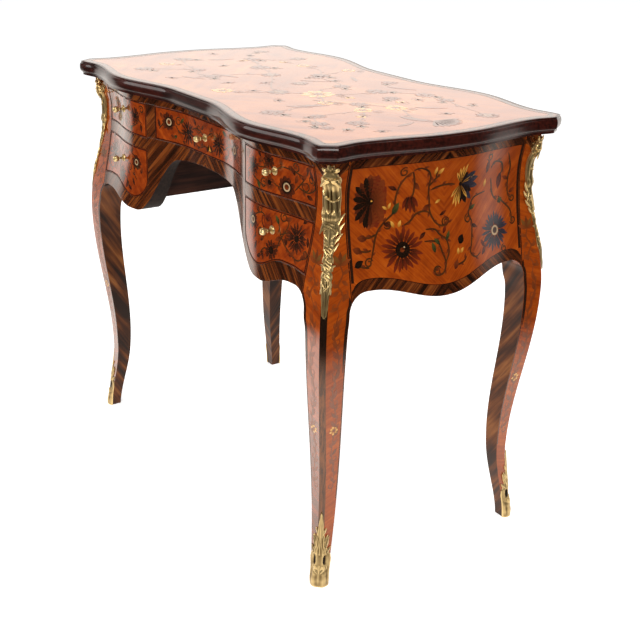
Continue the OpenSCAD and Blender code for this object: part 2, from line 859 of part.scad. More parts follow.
// Lower side drawers, shaped to the apron
lower_knob_z = (lower_low + lower_top) / 2 + knob_rise;
module lower_front() {
    reach = lower_corner_r - drawer_gap;
    xs = concat([for (a = [0:15:90]) inner_x + lower_corner_r - reach * cos(a)], flank_xs,
        [for (x = end_xs) min(x, outer_x - drawer_gap)]);
    color(satinwood)
        difference() {
            loft([
                for (x = xs)
                    flat_column(x, lower_edge(x, drawer_gap), lower_top - drawer_gap, 6, side_back_y)
            ], columns = true);
            knob_hole(side_mid_x, lower_knob_z);
        }
}
module lower_sides() {
    box_sides(box_x0, box_x1, side_back_y, lower_box_z, lower_top - box_drop);
}
module lower_back() {
    box_back(box_x0, box_x1, lower_box_z, lower_top - box_drop);
}
module lower_bottom() {
    box_bottom(box_x0, box_x1, side_back_y, lower_box_z);
}
module lower_knob() {
    knob(side_mid_x, lower_knob_z);
}
module lower_right_drawer_front() {
    lower_front();
}
module lower_right_drawer_sides() {
    lower_sides();
}
module lower_right_drawer_back() {
    lower_back();
}
module lower_right_drawer_bottom() {
    lower_bottom();
}
module lower_right_drawer_knob() {
    lower_knob();
}
module lower_left_drawer_front() {
    mirrored(true) lower_front();
}
module lower_left_drawer_sides() {
    mirrored(true) lower_sides();
}
module lower_left_drawer_back() {
    mirrored(true) lower_back();
}
module lower_left_drawer_bottom() {
    mirrored(true) lower_bottom();
}
module lower_left_drawer_knob() {
    mirrored(true) lower_knob();
}

top_panel();
front_moulding();
back_moulding();
left_moulding();
right_moulding();
front_left_leg();
front_right_leg();
back_left_leg();
back_right_leg();
front_left_chute();
front_right_chute();
back_left_chute();
back_right_chute();
front_left_sabot();
front_right_sabot();
back_left_sabot();
back_right_sabot();
left_side_panel();
right_side_panel();
back_panel();
front_top_rail();
front_stiles();
left_drawer_rail();
right_drawer_rail();
kneehole_arch();
left_apron();
right_apron();
left_cheek();
right_cheek();
kneehole_ceiling();
left_pedestal_bottom();
right_pedestal_bottom();
pedestal_runners();
centre_runners();
centre_drawer_front();
centre_drawer_sides();
centre_drawer_back();
centre_drawer_bottom();
centre_drawer_knob();
upper_left_drawer_front();
upper_left_drawer_sides();
upper_left_drawer_back();
upper_left_drawer_bottom();
upper_left_drawer_knob();
upper_right_drawer_front();
upper_right_drawer_sides();
upper_right_drawer_back();
upper_right_drawer_bottom();
upper_right_drawer_knob();
lower_left_drawer_front();
lower_left_drawer_sides();
lower_left_drawer_back();
lower_left_drawer_bottom();
lower_left_drawer_knob();
lower_right_drawer_front();
lower_right_drawer_sides();
lower_right_drawer_back();
lower_right_drawer_bottom();
lower_right_drawer_knob();
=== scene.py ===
# %% [markdown]
# # A serpentine writing desk
# The desk is dressed here, piece by piece, on the packed model that already has its joints.
# Everything is in metres in the model's own frame: X to the right, Y to the back, Z up from the floor.
# Lengths that a cabinetmaker would read off a drawing are written in millimetres and scaled once.

# %% Load the packed model
import json
import math
import random

import bmesh
import bpy
from mathutils import Matrix, Vector

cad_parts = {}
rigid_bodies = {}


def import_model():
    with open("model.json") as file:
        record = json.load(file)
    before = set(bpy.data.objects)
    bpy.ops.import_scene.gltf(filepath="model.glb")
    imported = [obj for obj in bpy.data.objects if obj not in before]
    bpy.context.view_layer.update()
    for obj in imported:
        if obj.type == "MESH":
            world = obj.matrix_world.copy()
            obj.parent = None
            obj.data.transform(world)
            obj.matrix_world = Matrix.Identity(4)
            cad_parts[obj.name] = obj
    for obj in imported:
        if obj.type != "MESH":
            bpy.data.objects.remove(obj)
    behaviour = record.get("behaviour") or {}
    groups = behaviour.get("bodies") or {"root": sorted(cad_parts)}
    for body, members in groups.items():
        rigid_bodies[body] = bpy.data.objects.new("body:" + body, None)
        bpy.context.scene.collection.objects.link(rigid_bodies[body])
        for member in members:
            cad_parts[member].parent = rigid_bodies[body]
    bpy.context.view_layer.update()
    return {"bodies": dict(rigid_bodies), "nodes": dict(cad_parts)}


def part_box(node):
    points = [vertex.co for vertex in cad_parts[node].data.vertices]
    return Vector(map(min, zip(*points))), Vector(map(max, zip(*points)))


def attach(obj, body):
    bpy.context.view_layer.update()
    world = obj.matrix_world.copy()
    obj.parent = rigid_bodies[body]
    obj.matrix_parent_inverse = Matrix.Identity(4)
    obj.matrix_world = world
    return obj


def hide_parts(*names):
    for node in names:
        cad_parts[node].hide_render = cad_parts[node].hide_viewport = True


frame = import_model()
MM = 0.001
print("bodies:", ", ".join(frame["bodies"]))

# %% [markdown]
# ## Camera
# The photograph was matched to the desk's own corners, which gives the camera's place and aim.
# The camera's three axes are worked out from its compass turn, its downward tilt and its small roll.

# %% Camera
YAW, PITCH, ROLL = math.radians(-55.16), math.radians(-21.81), math.radians(1.5)
CAMERA_PLACE = (1.7766, -1.1732, 1.1578)
FOCAL_PIXELS, PHOTO_PIXELS, SENSOR_WIDTH = 1129.0, 640.0, 36.0

ahead = Vector((math.sin(YAW) * math.cos(PITCH), math.cos(YAW) * math.cos(PITCH), math.sin(PITCH)))
level = Vector((math.cos(YAW), -math.sin(YAW), 0.0))
upward = level.cross(ahead)
right = math.cos(ROLL) * level + math.sin(ROLL) * upward
above = -math.sin(ROLL) * level + math.cos(ROLL) * upward
lens = bpy.data.cameras.new("camera")
lens.sensor_width = SENSOR_WIDTH
lens.lens = FOCAL_PIXELS / PHOTO_PIXELS * SENSOR_WIDTH
camera = bpy.data.objects.new("camera", lens)
camera.matrix_world = Matrix.Translation(CAMERA_PLACE) @ Matrix((right, above, -ahead)).transposed().to_4x4()
bpy.context.collection.objects.link(camera)
bpy.context.scene.camera = camera
bpy.context.scene.view_settings.view_transform = "Standard"
print("camera at", [round(v, 3) for v in camera.location], "lens", round(lens.lens, 1))

# %% [markdown]
# ## Shader maths in plain Python
# A pattern in wood is arithmetic on coordinates. `Wire` wraps one output socket, and Python's operators on it
# add Math nodes, so a stripe can be written as a formula. `Finish` owns one material and adds any other node.

# %% Wires and finishes
class Wire:
    def __init__(self, finish, socket):
        self.finish, self.socket = finish, socket

    def maths(self, operation, *values):
        return self.finish.maths_of(operation, *values)

    def __add__(self, other):
        return self.maths("ADD", self, other)

    def __sub__(self, other):
        return self.maths("SUBTRACT", self, other)

    def __rsub__(self, other):
        return self.maths("SUBTRACT", other, self)

    def __mul__(self, other):
        return self.maths("MULTIPLY", self, other)

    def __abs__(self):
        return self.maths("ABSOLUTE", self)

    def step(self, low, high):
        """0 below low, 1 above high, and a smooth rise between them."""
        return self.finish.add("ShaderNodeMapRange", {"interpolation_type": "SMOOTHSTEP"},
                               {"Value": self, "From Min": low, "From Max": high})

    __radd__, __rmul__ = __add__, __mul__


class Finish:
    def __init__(self, name, **values):
        self.material = bpy.data.materials.new(name)
        self.material.use_nodes = True
        self.tree = self.material.node_tree
        self.shader = self.tree.nodes["Principled BSDF"]
        self.set(**values)

    def add(self, kind, settings=None, inputs=None, output=0):
        node = self.tree.nodes.new(kind)
        for key, value in (settings or {}).items():
            if key == "stops":
                ramp = node.color_ramp
                while len(ramp.elements) < len(value):
                    ramp.elements.new(1.0)
                for element, (place, colour) in zip(ramp.elements, value):
                    element.position, element.color = place, colour
            else:
                setattr(node, key, value)
        for key, value in (inputs or {}).items():
            self.join(node.inputs[key], value)
        return Wire(self, node.outputs[output])

    def maths_of(self, operation, *values):
        return self.add("ShaderNodeMath", {"operation": operation}, dict(enumerate(values)))

    def join(self, socket, value):
        if isinstance(value, Wire):
            self.tree.links.new(value.socket, socket)
        else:
            socket.default_value = value

    def set(self, **values):
        for key, value in values.items():
            self.join(self.shader.inputs[key.replace("_", " ")], value)

    def vector_maths(self, operation, *values, output="Vector"):
        return self.add("ShaderNodeVectorMath", {"operation": operation}, dict(enumerate(values)), output)

    def split(self, vector):
        node = self.add("ShaderNodeSeparateXYZ", {}, {"Vector": vector}).socket.node
        return {axis: Wire(self, node.outputs[axis]) for axis in "XYZ"}

    def place(self):
        return self.split(self.add("ShaderNodeTexCoord", {}, {}, "Object"))

    def vector(self, x=0.0, y=0.0, z=0.0):
        return self.add("ShaderNodeCombineXYZ", {}, {"X": x, "Y": y, "Z": z})

    def noise(self, vector, scale=1.0, detail=2.0, roughness=0.5, distortion=0.0):
        return self.add("ShaderNodeTexNoise", {}, {"Vector": vector, "Scale": scale, "Detail": detail,
                                                   "Roughness": roughness, "Distortion": distortion})

    def ramp(self, value, stops):
        return self.add("ShaderNodeValToRGB", {"stops": stops}, {"Fac": value})

    def mix(self, factor, a, b):
        return self.add("ShaderNodeMix", {"data_type": "RGBA"}, {0: factor, 6: a, 7: b}, 2)

    def bump(self, height, strength, distance):
        return self.add("ShaderNodeBump", {}, {"Height": height, "Strength": strength, "Distance": distance})

    def either(self, factor, a, b):
        return self.add("ShaderNodeMixShader", {}, {0: factor, 1: a, 2: b})


def tone(red, green, blue):
    """A colour as a screen shows it, 0 to 255, made linear."""
    return tuple((c / 12.92 if c <= 0.04045 else ((c + 0.055) / 1.055) ** 2.4)
                 for c in (red / 255, green / 255, blue / 255)) + (1.0,)


def grade(*stops):
    """The stops of a colour ramp, each a place from 0 to 1 and then a colour."""
    return [(place, tone(*colour)) for place, *colour in stops]


print("a finish can:", ", ".join(name for name in vars(Finish) if not name.startswith("_")))

# %% [markdown]
# ## Lacquered veneers
# Satinwood is laid with its grain at 45 degrees, mirrored about the middle of each face, so that the figure
# meets in a herringbone. The dark cross-banding leans the other way. Both are stretched noise: short across
# the grain, long along it. A clear coat on top gives the deep lacquer that reflects the room.

# %% Lacquered wood
LACQUER = {"Roughness": 0.16, "Specular_IOR_Level": 0.45, "Specular_Tint": (1.0, 0.74, 0.54, 1.0),
           "Coat_Weight": 0.62, "Coat_Roughness": 0.04, "Coat_IOR": 1.5}
DIAGONAL = 0.7071


def figured(name, first, second, lean, stops, streak=(330.0, 16.0), ribbon=(70.0, 5.0), mottle=34.0,
            weights=(0.5, 0.3, 0.3), polish=LACQUER, painted_foot_shade=0.0):
    """Wood with its grain at a lean in the plane of two axes. streak, ribbon and mottle tell how often the
    fine lines, the broad bands and the clouds come, and weights how strong each is. The last argument is
    painted shade that darkens the foot, and painted light that lightens it where it is below zero."""
    wood = Finish(name, **polish)
    place = wood.place()
    a, b = abs(place[first]), place[second]
    across, along = (b + a * lean) * DIAGONAL, (a - b * lean) * DIAGONAL
    fine = wood.noise(wood.vector(across * streak[0], along * streak[1]), 1.0, 3.0, 0.6)
    broad = wood.noise(wood.vector(across * ribbon[0], along * ribbon[1], 7.0), 1.0, 2.0, 0.5)
    cloud = wood.noise(wood.vector(place[first], place[second], 3.0), mottle, 3.0, 0.55, 0.6)
    value = fine * weights[0] + broad * weights[1] + cloud * weights[2] - (sum(weights) - 1.0) * 0.5
    # painted shade at the foot, full below 0.2 m and gone above 0.46 m; a negative amount paints light
    # instead
    if painted_foot_shade:
        value = value - (1.0 - place["Z"].step(0.2, 0.46)) * painted_foot_shade
    wood.set(Base_Color=wood.ramp(value, stops))
    wave = wood.noise(wood.vector(*place.values()), 22.0, 1.0)
    wood.set(Normal=wood.bump(wave * 0.8 + fine * 0.04, 0.25, 0.0006))
    return wood.material


SATIN = grade((0.30, 92, 34, 4), (0.44, 134, 52, 6), (0.58, 158, 68, 10), (0.72, 182, 90, 22))
RED_SATIN = grade((0.30, 84, 24, 3), (0.45, 122, 44, 6), (0.58, 146, 58, 10), (0.74, 170, 78, 20))
PALE_SATIN = grade((0.34, 120, 52, 18), (0.46, 152, 74, 28), (0.56, 178, 98, 38), (0.68, 206, 132, 58))
satin_side = figured("satinwood_side", "Y", "Z", -1.0, SATIN)
satin_front = figured("satinwood_front", "X", "Z", -1.0, RED_SATIN, mottle=60.0, weights=(0.35, 0.2, 0.55))
satin_top = figured("satinwood_top", "X", "Y", -1.0, PALE_SATIN, streak=(240.0, 7.0), ribbon=(26.0, 3.0),
                    mottle=11.0, weights=(0.4, 0.4, 0.4))
# below the knee the front of a leg has a thick polish and painted shade that darkens it, and its side has a
# polish worn thin and painted light that makes it pale
PLAIN = {"lean": 0.35, "stops": SATIN, "streak": (300.0, 10.0)}
satin_back = figured("satinwood_back", "X", "Z", **PLAIN)
THICK, WORN = ({**LACQUER, "Coat_Weight": weight} for weight in (1.0, 0.4))
satin_leg = figured("satinwood_leg_front", "X", "Z", **PLAIN, polish=THICK, painted_foot_shade=0.14)
satin_leg_side = figured("satinwood_leg_side", "Y", "Z", **PLAIN, polish=WORN, painted_foot_shade=-0.06)
print("satinwoods:", satin_side.name, satin_front.name, satin_top.name, satin_back.name, satin_leg.name)

# %% [markdown]
# Kingwood is the dark, striped cross-banding. Inside the legs its stripes are broader and the polish thinner.

# %% Cross-banding
KINGWOOD = grade((0.36, 30, 12, 4), (0.45, 58, 24, 8), (0.53, 84, 38, 12), (0.62, 124, 64, 24),
                 (0.70, 80, 34, 12))
LEG_WOOD = grade((0.36, 36, 17, 7), (0.46, 68, 34, 14), (0.55, 106, 58, 25), (0.63, 136, 82, 40),
                 (0.72, 84, 46, 20))
THIN_POLISH = {"Roughness": 0.34, "Specular_IOR_Level": 0.12, "Coat_Weight": 0.09, "Coat_Roughness": 0.06}
STRIPES = {"streak": (420.0, 14.0), "ribbon": (135.0, 4.0), "mottle": 12.0, "weights": (0.28, 0.85, 0.12)}
WIDE = {"streak": (150.0, 9.0), "ribbon": (36.0, 4.0), "mottle": 12.0, "weights": (0.25, 0.9, 0.15),
        "polish": THIN_POLISH}
band_front = figured("kingwood_front", "X", "Z", 1.0, KINGWOOD, **STRIPES)
band_side = figured("kingwood_side", "Y", "Z", 1.0, KINGWOOD, **STRIPES)
band_top = figured("kingwood_top", "X", "Y", 1.0, KINGWOOD, **STRIPES)
leg_inside_front = figured("kingwood_leg_front", "X", "Z", -1.3, LEG_WOOD, **WIDE)
leg_inside_side = figured("kingwood_leg_side", "Y", "Z", -1.5, LEG_WOOD, **WIDE)
print("dark woods:", band_front.name, band_side.name, band_top.name, leg_inside_front.name)

# %% [markdown]
# The chamfer down each leg is black at the knee and fades to brown towards the foot, as polish wears.

# %% Chamfer wood
def worn_edge(name):
    wood = Finish(name, **LACQUER)
    place = wood.place()
    grain = wood.noise(wood.vector(place["X"] * 260.0, place["Y"] * 260.0, place["Z"] * 18.0), 1.0, 3.0, 0.6)
    height = (place["Z"] + (grain - 0.5) * 0.08).step(0.36, 0.47)
    worn = wood.mix(grain.step(0.35, 0.65), tone(56, 26, 12), tone(112, 62, 30))
    wood.set(Base_Color=wood.mix(height, worn, tone(26, 14, 8)))
    return wood.material


chamfer_wood = worn_edge("chamfer_wood")
print("edge wood:", chamfer_wood.name)

# %% [markdown]
# The moulding is solid mahogany, dark and close-grained, polished like glass. The drawer boxes are plain oak.

# %% Solid woods
def solid_wood(name, along, dark, light, rough, coat):
    wood = Finish(name, Roughness=rough, Specular_IOR_Level=0.12 if coat else 0.05, Coat_Weight=coat,
                  Coat_Roughness=0.02)
    place = wood.place()
    stretched = [wire * (9.0 if axis == along else 170.0) for axis, wire in place.items()]
    grain = wood.noise(wood.vector(*stretched), 1.0, 4.0, 0.6, 0.3)
    cloud = wood.noise(wood.vector(*place.values()), 14.0, 2.0)
    value = grain * 0.7 + cloud * 0.3
    wood.set(Base_Color=wood.mix(value.step(0.38, 0.62), dark, light), Normal=wood.bump(grain, 0.12, 0.0004))
    return wood.material


mahogany = solid_wood("mahogany", "X", tone(28, 8, 5), tone(56, 18, 11), 0.3, 0.46)
oak = solid_wood("oak", "Y", tone(150, 112, 70), tone(190, 152, 104), 0.6, 0.0)
dark_inside = solid_wood("dark_inside", "Y", tone(34, 18, 14), tone(62, 34, 24), 0.5, 0.25)
# black stringing round the drawer fronts that also stands for the painted shadow of the gap round each front,
# matt so it stays black in the glare
black_string_and_painted_gap_shadow = solid_wood("black_string_and_painted_gap_shadow", "X", tone(6, 4, 3), tone(18, 12, 9), 0.9, 0.0)
# near-black edges and arrises of the frame boards, and the sabot slots: painted shade where they lie in
# shadow
painted_edge_and_slot_shade = solid_wood("painted_edge_and_slot_shade", "X", tone(22, 15, 12), tone(40, 28, 23), 0.6, 0.0)
# the edges and arrises of the drawer fronts: the wood's own brown, darkened by painted shade of the gap round
# each front
front_edge_wood_and_painted_shade = solid_wood("front_edge_wood_and_painted_shade", "X", tone(38, 18, 9), tone(72, 37, 20), 0.6, 0.0)
print("solid woods:", mahogany.name, oak.name)

# %% [markdown]
# ## The cut veneers of the flowers
# Each small veneer keeps a coordinate of its own along and across its length, so that its grain follows the
# petal. The hot sand that shades real marquetry darkens one end of the piece.

# %% Marquetry veneers
def veneer(name, dark, light, shading=0.6):
    cut = Finish(name, **LACQUER)
    u, v, _ = cut.split(cut.add("ShaderNodeUVMap", {"uv_map": "grain"})).values()
    grain = cut.noise(cut.vector(u * 2.0, v * 9.0), 1.0, 3.0, 0.6)
    value = grain * (1.0 - shading) + u * shading
    cut.set(Base_Color=cut.mix(value.step(0.2, 0.75), dark, light))
    return cut.material


WOODS = {
    "ebony": (tone(14, 8, 4), tone(34, 19, 10), 0.2),
    "walnut": (tone(34, 13, 6), tone(80, 32, 12), 0.4),
    "umber": (tone(58, 23, 8), tone(112, 47, 16), 0.4),
    "russet": (tone(54, 16, 6), tone(106, 37, 14), 0.4),
    "ivory": (tone(148, 120, 88), tone(184, 158, 122), 0.2),
    "boxwood": (tone(150, 92, 26), tone(206, 150, 62)),
    "olive": (tone(46, 25, 8), tone(80, 45, 16), 0.2),
    "green": (tone(30, 32, 14), tone(70, 68, 30), 0.4),
    "inky": (tone(18, 17, 24), tone(50, 45, 56), 0.4),
    "plum": (tone(50, 15, 8), tone(96, 32, 16), 0.3),
    "string": (tone(24, 11, 6), tone(54, 26, 12), 0.1),
}
VENEERS = {wood: veneer(wood, *looks) for wood, looks in WOODS.items()}
print(len(VENEERS), "veneers")

# %% [markdown]
# The top and the legs stand in the light of the room. Their veneers have faded towards the satinwood round
# them, and only the boxwood has kept its pale yellow.

# %% Faded veneers
def faded(colour, share=0.34):
    return tuple(c + (s - c) * share for c, s in zip(colour, PALE_SATIN[1][1]))


FADED = {wood: veneer("faded_" + wood, faded(dark), faded(light), *shading)
         for wood, (dark, light, *shading) in WOODS.items()}
FADED["boxwood"] = veneer("pale_boxwood", tone(180, 122, 50), tone(222, 172, 92))
print(len(FADED), "faded veneers")

# %% [markdown]
# ## Gilt bronze
# Cast bronze, chased and gilded: bright where a hand rubs it, brown in the hollows. Pointiness tells the
# ridges from the hollows, and a fine noise breaks up the shine as chasing does.

# %% Gilt bronze
def gilding(name, hollow, ridge):
    gilt = Finish(name, Metallic=0.9)
    spot = gilt.vector(*gilt.place().values())
    cast = gilt.noise(spot, 420.0, 3.0, 0.6)
    patina = gilt.noise(spot, 60.0, 2.0, 0.5)
    point = gilt.add("ShaderNodeNewGeometry", {}, {}, "Pointiness")
    high = (point + (patina - 0.5) * 0.06).step(0.46, 0.56)
    gilt.set(Base_Color=gilt.mix(high, hollow, ridge), Roughness=0.48 - high * 0.16 + (cast - 0.5) * 0.2,
             Normal=gilt.bump(cast, 0.3, 0.0005))
    return gilt.material


gilt_bronze = gilding("gilt_bronze", tone(86, 62, 30), tone(222, 192, 132))
pale_gilt = gilding("pale_gilt", tone(86, 66, 36), tone(202, 176, 124))
polished_gilt = gilding("polished_gilt", tone(150, 120, 66), tone(238, 214, 156))
print("bronze:", gilt_bronze.name)

# %% [markdown]
# ## The desk's curves
# The plan is serpentine and the sides are bombe, so every board is bent. The same few stations that shaped
# the solids are repeated here, and a cosine step joins them, which leaves each crest and hollow level.

# %% Curves in millimetres
TOP, CASE_TOP, OPEN_TOP = 780.0, 752.0, 733.0
CENTRE_LOW, UPPER_LOW, LOWER_TOP, LOWER_LOW = 668.0, 665.0, 643.0, 558.0
CENTRE_HALF, INNER, OUTER, CORNER_X = 161.0, 185.0, 377.0, 430.0
POST_Y, KNEE, SHOULDER, FILLET, APRON_LOW, CHAMFER = 182.0, 470.0, 536.0, 501.0, 513.5, 8.0
SHOULDER_R, FRONT_RUN, SIDE_RUN, CORNER_R, GAP = 35.0, 11.0, 6.0, 53.0, 0.8
LEG_Y, ANKLE, FOOT_W, KNEE_W = 226.0, 148.0, 20.0, 49.0
OVERHANG, POST_FACE, SIDE_BOW, BOW_FLAT = 26.0, 236.0, 18.0, 15.0
ARCH_TOP, ARCH_SAG, ARCH_HALF, ARCH_END = 646.0, 8.0, 100.0, 228.0
FRAME_BACK, SIDE_BACK, CENTRE_BACK = -190.0, -193.0, -182.0     # flat backs of the frame and the fronts


def blend(a, b, t):
    return a + (b - a) * t


def steps(a, b, count):
    """The places from a to b that part it into count equal steps."""
    return [blend(a, b, i / count) for i in range(count + 1)]


def ease(t):
    return (1.0 - math.cos(math.pi * min(max(t, 0.0), 1.0))) / 2.0


def eased(stations, t):
    """The height at t of a line through the stations that lies level at each."""
    if t <= stations[0][0]:
        return stations[0][1]
    for (a, low), (b, high) in zip(stations, stations[1:]):
        if t < b:
            return blend(low, high, ease((t - a) / (b - a)))
    return stations[-1][1]


def top_depth(x):
    return eased([(60, 226), (235, 258), (377, 236), (430, 244)], abs(x))


def top_width(y):
    return eased([(15, 460), (182, 439), (223, 444)], abs(y))


def leg_out(z):
    return eased([(0, 0), (ANKLE, -10.8), (KNEE, 14.5), (690, -15), (CASE_TOP, -7)], z)


def leg_x(z):
    return CORNER_X + leg_out(z)


def leg_y(z):
    return LEG_Y + leg_out(z)


def leg_width(z):
    return blend(FOOT_W, KNEE_W, z / KNEE) + 1.2 * math.sin(math.pi * z / KNEE)


def leg_inner(z, post, run, outside):
    """The inner edge of a leg's face: the leg, the quarter-round shoulder, and the post above it."""
    edge, dz = post + run, z - FILLET
    centre = edge - SHOULDER_R
    if z <= KNEE:
        return outside + leg_out(z) - leg_width(z)
    if dz <= 0:
        return blend(edge, outside + leg_out(KNEE) - leg_width(KNEE), ease(-dz / (FILLET - KNEE)))
    if dz < SHOULDER_R:
        return max(post, centre + math.sqrt(SHOULDER_R ** 2 - dz ** 2))
    return post


def shoulder(t, post, run):
    centre = post + run - SHOULDER_R
    return SHOULDER if t <= centre else FILLET + math.sqrt(max(SHOULDER_R ** 2 - (t - centre) ** 2, 0.0))


def front_depth(x, z):
    ax = min(abs(x), OUTER)
    return top_depth(ax) - blend(OVERHANG, POST_FACE - leg_y(z), ease((ax - INNER) / (OUTER - INNER)))


def side_width(y, z):
    return leg_x(z) + SIDE_BOW * (1.0 - ease((abs(y) - BOW_FLAT) / (POST_Y - BOW_FLAT)))


def frame_low(x):
    ax = abs(x)
    if ax < ARCH_END:
        arch = ARCH_TOP - ARCH_SAG * (ax / ARCH_HALF) ** 2
        return blend(arch, APRON_LOW, ease((ax - ARCH_HALF) / (ARCH_END - ARCH_HALF)))
    return min(eased([(248, APRON_LOW), (340, SHOULDER)], ax), shoulder(ax, OUTER, FRONT_RUN))


def side_low(y):
    ay = abs(y)
    return min(eased([(0, 508), (145, SHOULDER)], ay), shoulder(ay, POST_Y, SIDE_RUN))


def drawer_low(x, gap=0.0):
    ax, centre, low = abs(x), INNER + CORNER_R, 538.5
    if ax < centre:
        return low + CORNER_R - math.sqrt(max((CORNER_R - gap) ** 2 - (ax - centre) ** 2, 0.0))
    dip = [(238, low), (OUTER - 61.4, 562.5), (OUTER - 44.2, 562.5), (OUTER + 9.6, LOWER_LOW)]
    return gap + eased(dip, ax)


LEG_FRONT, LEG_SIDE = (OUTER, FRONT_RUN, CORNER_X), (POST_Y, SIDE_RUN, LEG_Y)
print("front depth at the middle, crest and leg:", [round(front_depth(x, 640), 1) for x in (0, 235, 377)])

# %% [markdown]
# ## Bent boards
# A board starts as a flat grid whose corners are moved onto the curved face. The sheet is then extruded to
# the flat back, and the arrises get a small rounding, because it is the thin bright line along an edge that
# makes a board look like a solid.

# %% Board tools
def shaped_grid(columns, rows, place):
    """A grid whose corners go where place(u, v) says, in millimetres. Each corner keeps its u and v."""
    bm = bmesh.new()
    across, along = (bm.verts.layers.float.new(key) for key in "uv")
    bmesh.ops.create_grid(bm, x_segments=columns, y_segments=rows, size=0.5)
    for v in bm.verts:
        v[across], v[along] = v.co.x + 0.5, v.co.y + 0.5
        v.co = Vector(place(v[across], v[along])) * MM
    return bm


def deepened(bm, moved):
    """Every face is extruded, and each new corner goes where moved says."""
    made = bmesh.ops.extrude_face_region(bm, geom=bm.faces[:])
    for v in made["geom"]:
        if isinstance(v, bmesh.types.BMVert):
            v.co = moved(v)
    bmesh.ops.recalc_face_normals(bm, faces=bm.faces[:])
    return bm


def extruded(bm, behind):
    """The back is told by the place of the front."""
    return deepened(bm, lambda v: Vector(behind(*(v.co / MM))) * MM)


def thickened(bm, behind):
    """The back is told by the grid's own two lengths."""
    across, along = (bm.verts.layers.float[key] for key in "uv")
    return deepened(bm, lambda v: Vector(behind(v[across], v[along])) * MM)


def closed_tube(columns, rows, place):
    """A grid whose two sides meet, with a cap at each end."""
    bm = shaped_grid(columns, rows, place)
    bmesh.ops.remove_doubles(bm, verts=bm.verts[:], dist=1e-6)
    bmesh.ops.holes_fill(bm, edges=[e for e in bm.edges if e.is_boundary])
    bmesh.ops.recalc_face_normals(bm, faces=bm.faces[:])
    return bm


def soften(bm, width=0.5, angle=38.0):
    bm.normal_update()
    sharp = [e for e in bm.edges if e.is_manifold and e.calc_face_angle(0.0) > math.radians(angle)]
    bmesh.ops.bevel(bm, geom=sharp, offset=width * MM, offset_type="OFFSET", segments=2, profile=0.5,
                    affect="EDGES", material=-1, clamp_overlap=True)
    return bm


def merged(parts):
    """Several meshes that are cast or glued as one."""
    whole = bmesh.new()
    for part in parts:
        mesh = bpy.data.meshes.new("part")
        part.to_mesh(mesh)
        part.free()
        whole.from_mesh(mesh)
        bpy.data.meshes.remove(mesh)
    return whole


print("board tools ready")

# %% [markdown]
# A finished mesh becomes an object that rides on a body. `dress` also hides the plain solid of a node and
# prints how far the finer piece is off it, so that a slip shows at once.

# %% Piece tools
def make_piece(name, bm, finishes, body, slot, choose=None, angle=35.0):
    """The mesh as an object that rides on a body. choose(face) tells which finish a face has."""
    bm.normal_update()
    for face in bm.faces:
        face.smooth = True
        if choose:
            face.material_index = choose(face)
    for edge in bm.edges:
        edge.smooth = edge.calc_face_angle(0.0) < math.radians(angle)
    mesh = bpy.data.meshes.new(name)
    bm.to_mesh(mesh)
    bm.free()
    for finish in finishes:
        mesh.materials.append(finish)
    piece = bpy.data.objects.new(name, mesh)
    bpy.context.collection.objects.link(piece)
    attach(piece, body)
    return piece


def dress(node, bm, finishes, body, slot, choose=None, angle=35.0):
    """The finer piece that takes the place of a node, and how far it is off the node's own solid."""
    piece = make_piece(f"dressed_{node}", bm, finishes, body, slot, choose, angle)
    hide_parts(node)
    if slot != "gilt_bronze":
        piece.modifiers.new("crisp_flats", "WEIGHTED_NORMAL").keep_sharp = True
    low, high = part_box(node)
    mine = list(zip(*[piece.matrix_world @ Vector(corner) for corner in piece.bound_box]))
    off = [max(abs(min(side) - a), abs(max(side) - b)) for side, a, b in zip(mine, low, high)]
    print(f"{piece.name}: off its solid by {max(off) / MM:.2f} mm, {len(piece.data.polygons)} faces")


print("piece tools ready")

# %% [markdown]
# ### Front frame
# The rails, stiles, arch and aprons carry the dark cross-banding. Their upper and lower edges are curves of
# their own, so each board takes a function for its low edge and one for its high edge.

# %% Front frame
def faces_front(face):
    """0 on the show face, 1 on the edges and on the narrow faces of the rounded arrises, whose finish is
    darkened by painted shade.
    """
    narrow = min(edge.calc_length() for edge in face.edges) < 0.3 * MM
    return 0 if face.normal.y < -0.55 and not narrow else 1


def flat(z):
    return lambda x: z


FRAME = {"finishes": [band_front, painted_edge_and_slot_shade], "slot": "rosewood", "choose": faces_front}
DRAWER = {"finishes": [satin_front, front_edge_wood_and_painted_shade], "slot": "marquetry", "choose": faces_front}


def front_board(node, x0, x1, low, high, columns, rows, looks=FRAME, body="desk", back=FRAME_BACK):
    def place(u, v):
        x = blend(x0, x1, u)
        z = blend(low(x), high(x), v)
        return x, -front_depth(x, z), z
    board = soften(extruded(shaped_grid(columns, rows, place), lambda x, y, z: (x, back, z)))
    dress(node, board, body=body, **looks)


front_board("front_top_rail", -OUTER, OUTER, flat(OPEN_TOP), flat(CASE_TOP), 96, 3)
front_board("kneehole_arch", -INNER, INNER, frame_low, flat(CENTRE_LOW), 90, 6)
for side, *ends in (("left", -OUTER, -INNER), ("right", INNER, OUTER)):
    front_board(f"{side}_drawer_rail", *ends, flat(LOWER_TOP), flat(UPPER_LOW), 32, 3)
    front_board(f"{side}_apron", *ends, frame_low, drawer_low, 56, 6)

# %% [markdown]
# The two stiles beside the centre drawer belong to one node, so their meshes are merged.

# %% Stiles
def stile(a, b):
    def place(u, v):
        x = blend(a, b, u)
        return x, -front_depth(x, 700), blend(CENTRE_LOW, OPEN_TOP, v)
    return soften(extruded(shaped_grid(6, 6, place), lambda x, y, z: (x, FRAME_BACK, z)))


dress("front_stiles", merged([stile(-INNER, -CENTRE_HALF), stile(CENTRE_HALF, INNER)]), body="desk", **FRAME)

# %% [markdown]
# ### Drawer fronts
# The fronts are the same bent boards a hair smaller than their openings. The lower ones follow the apron with
# a rounded inner corner, where the grid's columns crowd together so that the quarter circle stays round.

